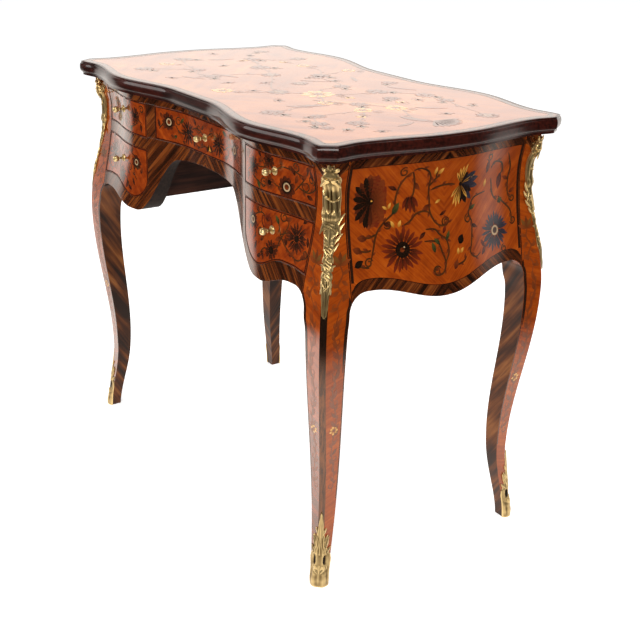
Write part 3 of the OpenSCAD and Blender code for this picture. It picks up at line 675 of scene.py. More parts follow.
# %% Drawer fronts
SIDES = {"left": -1.0, "right": 1.0}
ROUNDED = 0.3          # the share of a lower front's columns that its rounded corner takes
front_board("centre_drawer_front", -CENTRE_HALF + GAP, CENTRE_HALF - GAP, flat(CENTRE_LOW + GAP),
            flat(OPEN_TOP - GAP), 64, 12, DRAWER, "centre_drawer", CENTRE_BACK)
for side, s in SIDES.items():
    ends = sorted((s * (INNER + GAP), s * (OUTER - GAP)))
    front_board(f"upper_{side}_drawer_front", *ends, flat(UPPER_LOW + GAP), flat(OPEN_TOP - GAP), 44, 14,
                DRAWER, f"upper_{side}_drawer", SIDE_BACK)


def lower_front(side, s):
    def column(u):
        if u < ROUNDED:
            return INNER + CORNER_R - (CORNER_R - GAP) * math.cos(math.pi / 2 * u / ROUNDED)
        return blend(INNER + CORNER_R, OUTER - GAP, (u - ROUNDED) / (1.0 - ROUNDED))

    def place(u, v):
        x = column(u if s > 0 else 1.0 - u)
        z = blend(drawer_low(x, GAP), LOWER_TOP - GAP, v)
        return s * x, -front_depth(x, z), z
    board = soften(extruded(shaped_grid(50, 18, place), lambda x, y, z: (x, SIDE_BACK, z)))
    dress(f"lower_{side}_drawer_front", board, body=f"lower_{side}_drawer", **DRAWER)


for side, s in SIDES.items():
    lower_front(side, s)

# %% [markdown]
# ### Sides and back
# The sides bow outwards between the legs and follow their S-curve in height. The back repeats the outline of
# the front. All three are satinwood outside, and their dark inner faces show through the kneehole.

# %% Sides and back
SIDE_THICK, BACK_THICK = 18.0, 16.0


def side_panel(side, s):
    def place(u, v):
        y = blend(-POST_Y, POST_Y, u if s > 0 else 1.0 - u)
        z = blend(side_low(y), CASE_TOP, v)
        return s * side_width(y, z), y, z
    board = soften(extruded(shaped_grid(64, 26, place), lambda x, y, z: (x - s * SIDE_THICK, y, z)))
    dress(f"{side}_side_panel", board, [satin_side, dark_inside], "desk", "marquetry",
          lambda face: 1 if face.normal.x * s < -0.5 else 0)


def back_place(u, v):
    x = blend(OUTER, -OUTER, u)
    z = blend(frame_low(x), CASE_TOP, v)
    return x, front_depth(x, z), z


for side, s in SIDES.items():
    side_panel(side, s)
back = soften(extruded(shaped_grid(150, 20, back_place), lambda x, y, z: (x, y - BACK_THICK, z)))
dress("back_panel", back, [satin_back, dark_inside], "desk", "rosewood",
      lambda face: 1 if face.normal.y < -0.3 else 0)

# %% [markdown]
# ### Top and moulding
# The top board is one flat sheet inside its moulding. The moulding's section, a lip, a quirk, a bullnose
# and a small cove, is carried round the outline. Its rings are mitred at each canted corner, so that its
# width stays true.

# %% Outline of the top
front_xs = steps(-CORNER_X, -OUTER, 8)[:-1] + steps(-OUTER, OUTER, 96) + steps(OUTER, CORNER_X, 8)[1:]
front_line = [(x, -top_depth(x)) for x in front_xs]
right_line = [(top_width(y), y) for y in steps(-223, 223, 54)]
outline = front_line + right_line + [(-x, -y) for x, y in front_line] + [(-x, -y) for x, y in right_line]
outline = [(0.9998 * x, 0.9997 * y) for x, y in outline]     # a hair inside the solid's own moulding


def mitre(i):
    here, before, after = (Vector(outline[j % len(outline)]) for j in (i, i - 1, i + 1))
    a, b = (here - before).normalized(), (after - here).normalized()
    na, nb = Vector((a.y, -a.x)), Vector((b.y, -b.x))
    return (na + nb) / (1.0 + na.dot(nb))


SECTION = [
    (0.0, 0.0), (0.0, 27.7), (1.6, 27.9), (3.2, 28.0), (4.4, 27.6), (5.0, 26.7), (5.0, 25.8), (4.5, 25.0),
]
BULLNOSE = math.radians(66)
SECTION += [(3.9 + 3.6 * math.cos(a), 15.9 + 8.7 * math.sin(a) / math.sin(BULLNOSE))
            for a in (math.radians(turn) for turn in range(66, -67, -12))]
SECTION += [(3.5, 6.4), (3.4, 5.4), (2.6, 4.6), (2.2, 3.0), (2.2, 0.0)]
print(len(outline), "places round the top,", len(SECTION), "in the moulding's section")

# %% [markdown]
# Each of the four mouldings is one stretch of the outline, with a closed end where it meets the next.

# %% Moulding
def moulding(name, first, last):
    rings, n = last - first, len(SECTION)

    def place(u, v):
        i = first + round(u * rings)
        out, up = SECTION[round(v * n) % n]
        spot = Vector(outline[i % len(outline)]) + mitre(i) * out
        return spot.x, spot.y, CASE_TOP + up
    dress(name, closed_tube(rings, n, place), [mahogany], "desk", "mahogany", angle=50.0)


nf, nr = len(front_line), len(right_line)
moulding("front_moulding", -1, nf)
moulding("right_moulding", nf, nf + nr - 1)
moulding("back_moulding", nf + nr - 1, 2 * nf + nr)
moulding("left_moulding", 2 * nf + nr, 2 * nf + 2 * nr - 1)

# %% [markdown]
# The board itself lies 0.4 mm low, which leaves room for its marquetry.

# %% Top board
TOP_FACE = TOP - 0.4
board = bmesh.new()
board.faces.new([board.verts.new((x * MM, y * MM, CASE_TOP * MM)) for x, y in outline])
deepened(board, lambda v: Vector((v.co.x, v.co.y, TOP_FACE * MM)))
dress("top_panel", board, [satin_top], "desk", "marquetry")

# %% [markdown]
# ### Legs
# A leg's five-sided section follows the S-curve. Its two outer faces are veneered like the sides, the chamfer
# between them is dark, and the two inner faces are cross-banded. Rings are closer together at the shoulder.

# %% Legs
LEG_ZS = steps(0.0, ANKLE, 14)[:-1] + steps(ANKLE, KNEE, 30)[:-1] + [470, 480, 490]
LEG_ZS += [FILLET + SHOULDER_R * math.sin(math.radians(a)) for a in range(0, 75, 8)] + [SHOULDER - 0.6]
LEG_ZS += steps(SHOULDER, CASE_TOP, 20)
LEG_WOODS = [satin_leg, satin_leg_side, chamfer_wood, leg_inside_side, leg_inside_front]
CORNERS = {"front_left": (-1.0, -1.0), "front_right": (1.0, -1.0), "back_left": (-1.0, 1.0),
           "back_right": (1.0, 1.0)}


def leg(node, sx, sy):
    def place(u, v):
        z = LEG_ZS[round(v * (len(LEG_ZS) - 1))]
        x, y = leg_x(z), leg_y(z)
        xi, yi = leg_inner(z, *LEG_FRONT), leg_inner(z, *LEG_SIDE)
        section = [(xi, yi), (x, yi), (x, y - CHAMFER), (x - CHAMFER, y), (xi, y)]
        px, py = section[round(u * 5) % 5]
        return sx * px, sy * py, z

    def choose(face):
        nx, ny = face.normal.x * sx, face.normal.y * sy
        if nx > 0.4 and ny > 0.4:
            return 2
        return 0 if ny > 0.5 else 1 if nx > 0.5 else 3 if nx < -0.3 else 4
    dress(node, closed_tube(5, len(LEG_ZS) - 1, place), LEG_WOODS, "desk", "rosewood", choose, 28.0)


for corner, signs in CORNERS.items():
    leg(f"{corner}_leg", *signs)

# %% [markdown]
# ## Marquetry
# Flowers, leaves and vines are sawn from thin veneers and let into the ground. Here they are thin sheets too:
# each starts as a grid, is drawn in the face's own two lengths, is laid on the curve a tenth of a millimetre
# proud so that it shows, and gets its thickness inwards. Vines lie lowest, then leaves, petals and centres.

# %% Marquetry tools
VENEER_DEPTH = 0.35                                        # in millimetres


def polar(a, b, radius, turn):
    return a + radius * math.cos(math.radians(turn)), b + radius * math.sin(math.radians(turn))


def spiral(a, b, radius, start, turns, count, shrink):
    """Points that wind in towards (a, b), until the radius has shrunk by a share."""
    return [polar(a, b, radius * (1.0 - shrink * i / count), start + 360.0 * turns * i / count)
            for i in range(count + 1)]


def smooth_path(points, parts=5):
    """Points along a Catmull-Rom curve, which passes through every given point."""
    padded = [points[0]] + list(points) + [points[-1]]
    path = []
    for p0, p1, p2, p3 in zip(padded, padded[1:], padded[2:], padded[3:]):
        for i in range(parts):
            t = i / parts
            path.append(tuple(0.5 * (2 * b + (c - a) * t + (2 * a - 5 * b + 4 * c - d) * t * t
                                     + (3 * b - a - 3 * c + d) * t ** 3)
                              for a, b, c, d in zip(p0, p1, p2, p3)))
    return path + [points[-1]]


class Inlay:
    """The veneers let into one face. place(a, b, proud) gives the point on the face, in millimetres."""

    def __init__(self, name, body, place, inward, veneers=VENEERS):
        self.name, self.body, self.place, self.inward, self.veneers = name, body, place, inward, veneers
        self.bm, self.finishes, self.chance = bmesh.new(), [], random.Random(name)
        self.bm.loops.layers.uv.new("grain")

    def sheet(self, columns, rows, shape, finish, proud):
        if finish not in self.finishes:
            self.finishes.append(finish)
        made = bmesh.ops.create_grid(self.bm, x_segments=columns, y_segments=rows, size=0.5,
                                     calc_uvs=True)["verts"]
        faces = {face for v in made for face in v.link_faces}
        for face in faces:
            face.material_index = self.finishes.index(finish)
        for v in made:
            v.co = Vector(self.place(*shape(v.co.x + 0.5, v.co.y + 0.5), proud)) * MM
        bmesh.ops.remove_doubles(self.bm, verts=made, dist=2e-6)

    def leaf(self, a, b, length, width, turn, wood, bend=0.0, belly=0.45, full=1.0, proud=0.17, columns=7):
        """A pointed leaf or petal that grows from (a, b). It is widest at the share belly of its length."""
        c, s = math.cos(math.radians(turn)), math.sin(math.radians(turn))
        bias = math.log(0.5) / math.log(belly)

        def shape(u, v):
            half = width / 2 * math.sin(math.pi * u ** bias) ** full if 0 < u < 1 else 0.0
            along, side = u * length, (2 * v - 1) * half + bend * length * u * u
            return a + c * along - s * side, b + s * along + c * side
        self.sheet(columns, 2 if width < 12 else 6, shape, self.veneers[wood], proud)

    def ring(self, a, b, inner, outer, wood, proud=0.22):
        self.sheet(24, max(1, round((outer - inner) / 2.5)),
                   lambda u, v: polar(a, b, blend(inner, outer, v), 360.0 * u), self.veneers[wood], proud)

    def disc(self, a, b, radius, wood, proud=0.21):
        self.ring(a, b, 0.0, radius, wood, proud)

    def ribbon(self, path, width, finish, proud=0.11, taper=0.55, closed=False):
        """A strip along a path. Its ends narrow to a share of the width, or meet if it is closed."""
        last = len(path) - 1

        def shape(u, v):
            i = round(u * last)
            before = path[i - 1] if i > 0 else path[-2] if closed else path[0]
            after = path[i + 1] if i < last else path[1] if closed else path[-1]
            da, db = after[0] - before[0], after[1] - before[1]
            size = math.hypot(da, db) or 1.0
            half = (v - 0.5) * width * (1.0 if closed else blend(taper, 1.0, min(1.0, 6.0 * min(u, 1 - u))))
            return path[i][0] - db / size * half, path[i][1] + da / size * half
        self.sheet(last, 1, shape, finish, proud)

    def string(self, path, width=1.0, finish=VENEERS["ebony"], proud=0.14):
        """A strip of even width, as the strings that frame a picture."""
        self.ribbon(path, width, finish, proud, 1.0)

    def vine(self, points, width, wood="olive"):
        self.ribbon(smooth_path(points), width, self.veneers[wood])

    def daisy(self, a, b, radius, count=13, wood="walnut", heart="ebony", eye=0.3, fat=1.0, start=0.0):
        """Petals all round, then a heart."""
        for i in range(count):
            turn = start + 360.0 / count * (i + 0.5 + self.chance.uniform(-0.16, 0.16))
            root = polar(a, b, radius * eye * 0.7, turn)
            length = radius * (1.0 - eye * 0.7) * self.chance.uniform(0.8, 1.06)
            width, bend = fat * 2.0 * math.pi * radius * 0.62 / count, self.chance.uniform(-0.12, 0.12)
            self.leaf(*root, length, width, turn, wood, bend, 0.6, 0.8, 0.17 + 0.01 * (i % 2))
        if heart:
            self.disc(a, b, radius * eye, heart, 0.22)

    def ringed(self, a, b, radius, count, wood, eye):
        """A daisy with a pale ring round its heart."""
        self.daisy(a, b, radius, count, wood, "walnut", eye)
        self.ring(a, b, radius * eye * 0.62, radius * eye, "ivory", 0.24)
        self.disc(a, b, radius * 0.09, "ebony", 0.25)

    def spray(self, a, b, turn, size, wood):
        """Three leaves that open from one point."""
        for i in (-1, 0, 1):
            lean = 36.0 * i
            self.leaf(a, b, size * (1.0 - abs(lean) / 150), size * 0.34, turn + lean, wood, 0.1 * i)

    def curl(self, a, b, radius, start, turns, width, wood="olive"):
        """A tendril that winds in towards (a, b)."""
        self.ribbon(spiral(a, b, radius, start, turns, int(14 * abs(turns)), 0.7), width, self.veneers[wood])

    def tufts(self, points, size):
        """Small leaves that grow from a stem, now on one side and now on the other."""
        path = smooth_path(points)
        for i in range(3, len(path) - 3, 4):
            along = math.degrees(math.atan2(path[i + 1][1] - path[i][1], path[i + 1][0] - path[i][0]))
            way = 1 if i // 4 % 2 else -1
            long = size * self.chance.uniform(0.7, 1.2)
            turn = along + way * self.chance.uniform(28, 55)
            self.leaf(*path[i], long, long * 0.4, turn, "umber", -0.2 * way, proud=0.13)

    def stems(self, paths, width, tuft=10.0):
        for points in paths:
            self.vine(points, width)
            self.tufts(points, tuft)

    def curls(self, places, turns, width):
        for a, b, radius, start in places:
            self.curl(a, b, radius, start, turns, width)

    def leaves(self, places, length, width):
        for wood, a, b, turn in places:
            self.leaf(a, b, length, width, turn, wood, 0.1)

    def lay(self):
        """Thickness for every veneer, and the whole picture as one piece."""
        deepened(self.bm, lambda v: v.co + Vector(self.inward) * VENEER_DEPTH * MM)
        piece = make_piece(self.name, self.bm, self.finishes, self.body, "marquetry")
        print(f"{self.name}: {len(piece.data.polygons)} faces, {len(self.finishes)} woods")


print("an inlay can lay:", ", ".join(name for name in vars(Inlay) if not name.startswith("_")))


# %% [markdown]
# ### Side panels
# The picture on each side is framed by cross-banding along the top and along the curved lower edge, and by a
# dark string at each leg. From the left it holds a fan flower, a sunflower, a lily and a blue-black daisy,
# tied by vines that curl where they end. The other side is its mirror image.

# %% The side picture
SIDE_VINES = [
    [(-142, 581), (-136, 600), (-129, 623), (-115, 640), (-96, 656), (-94, 675), (-88, 695), (-77, 711),
    (-66, 718)], [(-129, 623), (-143, 619), (-153, 621)], [(-140, 599), (-150, 598), (-163, 601)],
    [(-146, 572), (-158, 575), (-167, 579)], [(-66, 718), (-61, 701), (-62, 682), (-69, 670)], [(-65, 720),
    (-54, 723), (-38, 717), (-31, 706), (-32, 695), (-33, 683), (-31, 666), (-30, 649), (-20, 631), (-7, 623),
    (6, 625), (8, 633), (0, 637)], [(-83, 631), (-69, 637), (-57, 648), (-42, 651), (-30, 647)], [(-28, 684),
    (-13, 688), (6, 689), (22, 687)], [(-43, 602), (-27, 601), (-15, 596), (-8, 580), (-2, 562), (-8, 547),
    (-22, 545), (-26, 554), (-18, 557)], [(-39, 621), (-21, 619), (-11, 609), (2, 599), (6, 580), (-2, 562)],
    [(95, 664), (66, 658), (56, 641), (54, 631), (61, 617), (58, 586), (54, 570), (66, 560), (79, 565)],
    [(110, 683), (115, 656), (126, 644)], [(108, 701), (115, 711), (132, 708), (139, 696), (131, 682)],
    [(20, 554), (37, 558), (44, 565)], [(147, 722), (158, 698), (154, 676), (155, 650), (165, 642)],
    [(-20, 704), (-19, 715)], [(-33, 690), (-20, 702), (-12, 706)], [(131, 650), (140, 640), (160, 622),
    (163, 600)],
]
SIDE_LEAVES = [
    ("green", -100, 652, 20, 9, 50), ("green", -23, 581, 17, 7, 100), ("green", 2, 598, 15, 6, 60),
    ("green", -12, 593, 15, 6, 130), ("green", 66, 700, 16, 6, 200), ("green", 128, 640, 12, 8, 20),
    ("boxwood", -97, 630, 12, 5, 110), ("boxwood", -90, 630, 11, 5, 60), ("boxwood", -24, 709, 12, 5, 70),
    ("boxwood", -17, 709, 13, 6, 35), ("boxwood", -108, 660, 10, 4, 140), ("boxwood", -107, 661, 10, 4, 60),
    ("boxwood", 25, 571, 10, 5, 80), ("boxwood", 30, 573, 10, 5, 40), ("boxwood", 92, 671, 13, 5, 70),
    ("boxwood", -8, 666, 11, 4, 200), ("umber", -147, 617, 16, 10, 160), ("umber", -158, 598, 16, 10, 150),
    ("umber", 16, 548, 16, 8, 60), ("ebony", -173, 577, 17, 10, 20), ("ebony", 29, 588, 15, 12, 55),
    ("plum", 134, 690, 26, 11, 255), ("plum", 97, 694, 22, 8, 80), ("plum", 82, 560, 18, 7, 50),
    ("plum", 90, 572, 15, 6, 120), ("russet", -4, 610, 12, 6, 60), ("walnut", -40, 617, 15, 6, 215),
    ("walnut", -10, 640, 14, 5, 20), ("umber", -58, 650, 14, 5, 110), ("umber", -30, 660, 15, 6, 200),
    ("green", 56, 640, 14, 6, 20), ("walnut", 60, 615, 14, 6, 330), ("umber", 154, 675, 15, 6, 150),
    ("umber", 157, 652, 14, 6, 20), ("walnut", -116, 640, 15, 6, 330), ("walnut", -92, 690, 16, 6, 150),
    ("umber", -60, 700, 15, 6, 300),
]
SIDE_CURLS = [
    (-108, 636, 7, 200), (2, 628, 8, 90), (-21, 551, 9, 30), (52, 626, 8, 90), (165, 642, 7, 120),
    (-82, 719, 8, 60), (-146, 580, 8, 20), (100, 722, 7, 200), (140, 560, 7, 90), (165, 604, 7, 200),
]


FAN, SUNFLOWER, LILY, BLACK_DAISY = (-138, 676), (-84, 594), (34, 686), (119, 594)


def fan_flower(inlay):
    """A scalloped bowl, and dark pointed petals in front of it."""
    for first, count, reach, width, woods, belly, prouds in (
            (-95, 11, 45.0, 16, ("umber", "russet"), 0.78, (0.14, 0.15)),
            (-85, 10, 42.0, 12, ("umber", "umber"), 0.7, (0.155, 0.155))):
        for i in range(count):
            turn = first + 19 * i
            length = reach - 16.0 * math.cos(math.radians(turn)) ** 2
            inlay.leaf(*FAN, length, width, turn, woods[i % 2], 0.0, belly, 0.5, prouds[i % 2])
    inlay.leaf(-145, 634, 84, 20, 90, "walnut", 0.0, 0.5, 0.7, 0.165, 14)
    for i in range(13):
        turn = 90 + 15.0 * i
        reach = 25 + 15 * abs(math.sin(math.radians(turn))) + (3 if i % 2 else 0)
        wood, proud = ("walnut", "ebony")[i % 2], 0.18 + 0.005 * (i % 2)
        inlay.leaf(-139, 676, reach, 9.6, turn, wood, 0.0, 0.7, 0.6, proud)
    inlay.disc(*FAN, 5.4, "ebony", 0.22)
    inlay.disc(-136, 677, 1.7, "boxwood", 0.24)


def lily(inlay):
    """Broad dark petals below and to the side, and pale stamens with a dark vein."""
    for turn, length in ((8, 42), (-12, 41), (25, 38), (-70, 36), (-50, 38), (-92, 32), (48, 24), (-32, 30)):
        inlay.leaf(*LILY, length, 11, turn, "inky" if length > 37 else "ebony", 0.02, 0.62, 0.8)
    for turn, length in ((94, 27), (66, 34), (80, 30), (112, 22), (240, 36), (262, 34), (251, 38), (222, 28),
                         (16, 34), (-60, 30)):
        inlay.leaf(*LILY, length, 4.6, turn, "boxwood", 0.06, 0.6, 0.9, 0.19)
        inlay.leaf(*LILY, length * 0.86, 2.2, turn, "walnut", 0.06, 0.6, 0.9, 0.21)
    inlay.disc(*LILY, 3.4, "ebony", 0.23)


def side_picture(inlay):
    inlay.stems(SIDE_VINES, 3.4)
    for wood, a, b, length, width, turn in SIDE_LEAVES:
        inlay.leaf(a, b, length * 1.12, width * 1.15, turn, wood, 0.08)
    inlay.curls(SIDE_CURLS, 1.3, 2.8)
    fan_flower(inlay)
    inlay.daisy(*SUNFLOWER, 39, 19, "russet", None, 0.36, 0.78)
    inlay.daisy(*SUNFLOWER, 31, 15, "walnut", None, 0.38, 0.62, start=9.0)
    inlay.disc(*SUNFLOWER, 13.0, "ebony", 0.24)
    inlay.disc(-85, 594, 4.0, "umber", 0.26)
    inlay.disc(-81, 598, 1.4, "ivory", 0.28)
    for i in range(5):                                     # a bud on a bent stem
        inlay.leaf(-72 + 2 * i, 678, 28 - abs(i - 2) * 3, 7.5, 244 + 14 * i, ("russet", "walnut")[i % 2],
                   0.0, 0.5, 0.8, 0.17 + 0.01 * i)
    lily(inlay)
    inlay.ringed(*BLACK_DAISY, 34, 25, "inky", 0.25)


print("the side picture has", len(SIDE_VINES), "vines and", len(SIDE_LEAVES), "single leaves")

# %% [markdown]
# The picture is laid on each side, and then the bands and the strings that frame it.

# %% The side pictures laid
BAND_LOW, LINE_Z = 733.5, 733.0          # the lower edge of the band under the top, and the line below it


def banded(inlay, end, low, depth, finish, columns):
    """Cross-banding along the top of a face and along its curved lower edge."""
    def lower(u, v):
        a = blend(-end, end, u)
        return a, low(a) + blend(0.4, depth, v)
    inlay.sheet(columns[0], 3, lambda u, v: (blend(-end, end, u), blend(BAND_LOW, CASE_TOP - 0.2, v)),
                finish, 0.1)
    inlay.sheet(columns[1], 3, lower, finish, 0.1)


def lined(inlay, end, low, up, counts):
    """A black line along each band."""
    inlay.string([(a, low(a) + up) for a in steps(-end, end, counts[0])])
    inlay.string([(a, LINE_Z) for a in steps(-end, end, counts[1])])


def side_inlay(side, s):
    def place(y, z, proud):
        return s * (side_width(y, z) + proud), y, z
    inlay = Inlay(f"{side}_side_marquetry", "desk", place, (-s, 0, 0))
    side_picture(inlay)
    last, field = POST_Y - 0.3, POST_Y - 5.8
    banded(inlay, last, side_low, 19.0, band_side, (56, 72))
    for end in (-1.0, 1.0):
        inlay.sheet(1, 20, lambda u, v: (end * blend(field, last, u), blend(553.0, BAND_LOW, v)),
                    VENEERS["string"], 0.12)
    lined(inlay, field, side_low, 19.4, (60, 40))
    inlay.lay()


for side, s in SIDES.items():
    side_inlay(side, s)

# %% [markdown]
# ### Drawer fronts
# Every drawer front is edged with a fine black line: black stringing, and also the painted shadow of the gap
# round the front. Their flowers are smaller and redder than those of the sides. The knob stands in the middle
# of each picture, so the stems run out from behind it.

# %% Drawer pictures
def ringed_brown(inlay, a, b, radius):
    """A flat brown flower with a pale ring, the commonest on the drawers."""
    inlay.daisy(a, b, radius, 9, "walnut", None, 0.3, 1.15)
    inlay.disc(a, b, radius * 0.52, "ebony", 0.2)
    inlay.ring(a, b, radius * 0.24, radius * 0.37, "ivory", 0.24)
    inlay.disc(a, b, radius * 0.22, "umber", 0.24)


def upper_picture(inlay):
    inlay.stems(([(244, 726), (266, 699), (283, 683), (307, 680)], [(325, 682), (349, 707), (364, 727)],
                 [(200, 690), (222, 704), (250, 706), (275, 718)],
                 [(281, 706), (300, 716), (330, 712), (349, 707)],
                 [(206, 712), (216, 690), (236, 680), (259, 676)],
                 [(330, 690), (352, 684), (372, 694), (368, 712)]), 2.5, 12.0)
    ringed_brown(inlay, 307, 684, 20)
    inlay.daisy(268, 721, 15, 9, "walnut", "ebony", 0.3)
    inlay.daisy(222, 703, 17, 11, "walnut", "ebony", 0.3)
    inlay.daisy(268, 684, 13, 8, "umber", "ebony", 0.34)
    inlay.curls(((253, 680, 9, 40), (350, 694, 11, 100), (200, 718, 8, 10), (330, 722, 9, 200),
                 (364, 706, 8, 300)), 1.3, 2.4)
    inlay.leaves((("umber", 355, 722, 20), ("umber", 340, 703, 30), ("walnut", 352, 680, 340),
                  ("walnut", 246, 722, 120), ("green", 262, 700, 200), ("umber", 325, 694, 60),
                  ("walnut", 326, 706, 110), ("walnut", 204, 690, 250), ("green", 236, 683, 290),
                  ("umber", 296, 716, 80), ("umber", 240, 712, 40), ("walnut", 366, 706, 90)), 17, 7.5)


def lower_picture(inlay):
    inlay.stems(([(295, 623), (302, 605), (316, 589), (332, 580)], [(248, 556), (262, 572), (283, 574)],
                 [(213, 612), (230, 622), (252, 630), (267, 618)], [(302, 605), (322, 612), (340, 607)],
                 [(222, 575), (232, 590), (228, 604), (214, 616)], [(332, 580), (350, 574), (366, 583)],
                 [(296, 575), (302, 595), (318, 625), (306, 640)]), 2.6, 12.0)
    inlay.daisy(340, 607, 28, 17, "walnut", None, 0.28, 0.75)
    inlay.daisy(340, 607, 19, 13, "ebony", "ebony", 0.3, 0.6, start=10.0)
    inlay.daisy(283, 574, 19, 13, "walnut", "ebony", 0.35)
    ringed_brown(inlay, 222, 611, 17)
    inlay.curl(267, 618, 16, 150, 1.5, 3.0, "russet")
    inlay.curls(((248, 596, 10, 300), (306, 634, 9, 90), (366, 588, 8, 200), (246, 634, 8, 20)), 1.3, 2.4)
    inlay.spray(265, 620, 60, 17, "russet")
    inlay.leaves((("umber", 328, 576, 30), ("walnut", 230, 563, 60), ("umber", 362, 578, 60),
                  ("walnut", 350, 634, 40), ("umber", 305, 600, 200), ("green", 296, 620, 120),
                  ("umber", 310, 630, 20), ("walnut", 318, 590, 100), ("umber", 238, 628, 100),
                  ("green", 226, 600, 160), ("walnut", 256, 566, 290), ("umber", 208, 590, 110),
                  ("umber", 250, 582, 40), ("walnut", 370, 600, 100), ("umber", 300, 562, 340),
                  ("walnut", 240, 552, 20)), 17, 7.5)


def centre_picture(inlay):
    inlay.stems(([(-150, 690), (-136, 704), (-123, 709)], [(-105, 704), (-90, 692), (-65, 699)],
                 [(-48, 706), (-30, 712), (-8, 704)], [(8, 704), (26, 712), (50, 697)],
                 [(66, 690), (84, 700), (110, 708)], [(-40, 684), (-20, 678), (0, 684), (20, 678), (36, 686)],
                 [(110, 708), (130, 700), (148, 688)]), 2.4, 11.0)
    ringed_brown(inlay, -123, 707, 19)
    ringed_brown(inlay, 120, 703, 19)
    for a in (-65, 50):
        inlay.daisy(a, 698, 24, 15, "walnut", None, 0.3, 0.8)
        inlay.daisy(a, 698, 16, 11, "ebony", "ebony", 0.34, 0.6, start=10.0)
    inlay.curls(((-96, 712, 9, 40), (-24, 712, 9, 200), (24, 712, 9, 340), (88, 712, 9, 120)), 1.3, 2.3)
    inlay.leaves((("umber", -118, 684, 330), ("walnut", -148, 694, 100), ("green", -90, 710, 40),
                  ("umber", -14, 712, 40), ("walnut", 8, 676, 60), ("umber", 100, 718, 330),
                  ("umber", 84, 684, 60), ("walnut", -38, 690, 250), ("green", -100, 684, 200),
                  ("umber", -146, 722, 300), ("walnut", -34, 716, 120), ("walnut", 20, 690, 290),
                  ("umber", 30, 722, 200), ("green", 78, 718, 150), ("umber", 140, 690, 340),
                  ("walnut", 146, 716, 200), ("umber", -8, 688, 220), ("boxwood", 8, 688, 320),
                  ("umber", -84, 678, 340), ("walnut", 72, 678, 20)), 16, 7.0)


print("pictures drawn for the upper, the lower and the centre drawers")

# %% [markdown]
# A drawer's veneers stop at the edges of its front, wherever the drawn flower would go on.

# %% The drawer pictures laid
def edged(inlay, x0, x1, low, high, inset=1.7):
    """A black line just inside a drawer front's edge, on all four sides, wider at the ends: black stringing
    that is also the painted shadow of the gap round the front.
    """
    xs = steps(x0 + inset, x1 - inset, 60)
    for edge in ([(x, low(x) + inset) for x in xs], [(x, high - inset) for x in xs]):
        inlay.string(edge, 1.9, black_string_and_painted_gap_shadow)
    for x in (x0 + inset, x1 - inset):
        inlay.string([(x, z) for z in steps(low(x) + inset, high - inset, 12)], 2.4, black_string_and_painted_gap_shadow)


def drawer_inlay(name, drawer, s, x0, x1, low, high, picture, trim=0.9):
    """Veneers for a drawer front, trimmed at its edges as a saw would. s is -1 for a mirrored front."""
    def place(x, z, proud):
        x = min(max(x, x0 + trim), x1 - trim)
        z = min(max(z, low(x) + trim), high - trim)
        return s * x, -front_depth(x, z) - proud, z
    inlay = Inlay(name, drawer, place, (0, 1, 0))
    picture(inlay)
    edged(inlay, x0, x1, low, high)
    inlay.lay()


ends = (INNER + GAP, OUTER - GAP)
for side, s in SIDES.items():
    drawer_inlay(f"upper_{side}_marquetry", f"upper_{side}_drawer", s, *ends, flat(UPPER_LOW + GAP),
                 OPEN_TOP - GAP, upper_picture)
    drawer_inlay(f"lower_{side}_marquetry", f"lower_{side}_drawer", s, *ends, lambda x: drawer_low(x, GAP),
                 LOWER_TOP - GAP, lower_picture)
drawer_inlay("centre_marquetry", "centre_drawer", 1.0, -CENTRE_HALF + GAP, CENTRE_HALF - GAP,
             flat(CENTRE_LOW + GAP), OPEN_TOP - GAP, centre_picture)

# %% [markdown]
# ### Top
# The top carries the richest picture: dark and pale flowers over its whole length, long leaves and scrolling
# stems. A cross-banded border and a black string follow the outline inside the moulding.

# %% The top picture
TOP_FLOWERS = [
    (-66, 95, 22, "walnut"), (52, 64, 20, "walnut"), (123, 92, 24, "walnut"), (205, -9, 20, "umber"),
    (188, 75, 18, "walnut"), (190, 151, 22, "umber"), (245, 153, 18, "walnut"), (305, -161, 18, "walnut"),
    (337, -167, 14, "umber"), (331, -104, 20, "walnut"), (-288, -177, 22, "walnut"),
    (-359, -52, 24, "walnut"), (195, -179, 22, "walnut"), (-54, 77, 16, "umber"), (256, -130, 16, "walnut"),
    (-200, 40, 24, "walnut"), (-300, 80, 22, "umber"), (-150, -100, 20, "walnut"), (-230, -90, 18, "umber"),
    (-380, 150, 18, "walnut"), (60, 170, 18, "umber"),
]
TOP_RINGED = [
    (382, 129, 22, "walnut"), (-116, 12, 22, "walnut"), (45, -72, 24, "walnut"), (-260, 170, 20, "walnut"),
    (-10, 10, 18, "walnut"),
]
TOP_YELLOW = [
    (250, -34, 20), (258, 30, 22), (95, -19, 34), (-90, 181, 16), (-14, -155, 22), (169, -54, 16),
    (-320, -110, 18), (-180, 130, 16),
]
TOP_LONG = [
    (-40, 30, 60, 9, 40, "umber"), (135, -60, 62, 10, 30, "umber"), (168, -112, 56, 11, 62, "walnut"),
    (270, 62, 56, 12, 48, "umber"), (320, -10, 66, 18, 14, "walnut"), (160, -130, 46, 10, 40, "umber"),
    (-120, -60, 60, 11, 200, "walnut"), (-240, 60, 60, 10, 160, "umber"), (-330, -10, 56, 11, 70, "umber"),
    (20, 120, 56, 10, 150, "walnut"), (90, 140, 60, 10, 20, "umber"), (-180, -150, 54, 10, 20, "umber"),
    (380, -60, 46, 10, 100, "walnut"),
]
TOP_SMALL = [
    (215, 111), (336, 72), (367, -150), (-231, 122), (-45, -39), (108, -112), (275, -173), (-289, 47),
    (-169, -176), (400, -100), (300, 170), (140, 10), (-80, -110), (-340, 100), (0, 90), (290, -60),
    (-400, 40), (10, -110), (-250, -20), (230, 70),
]
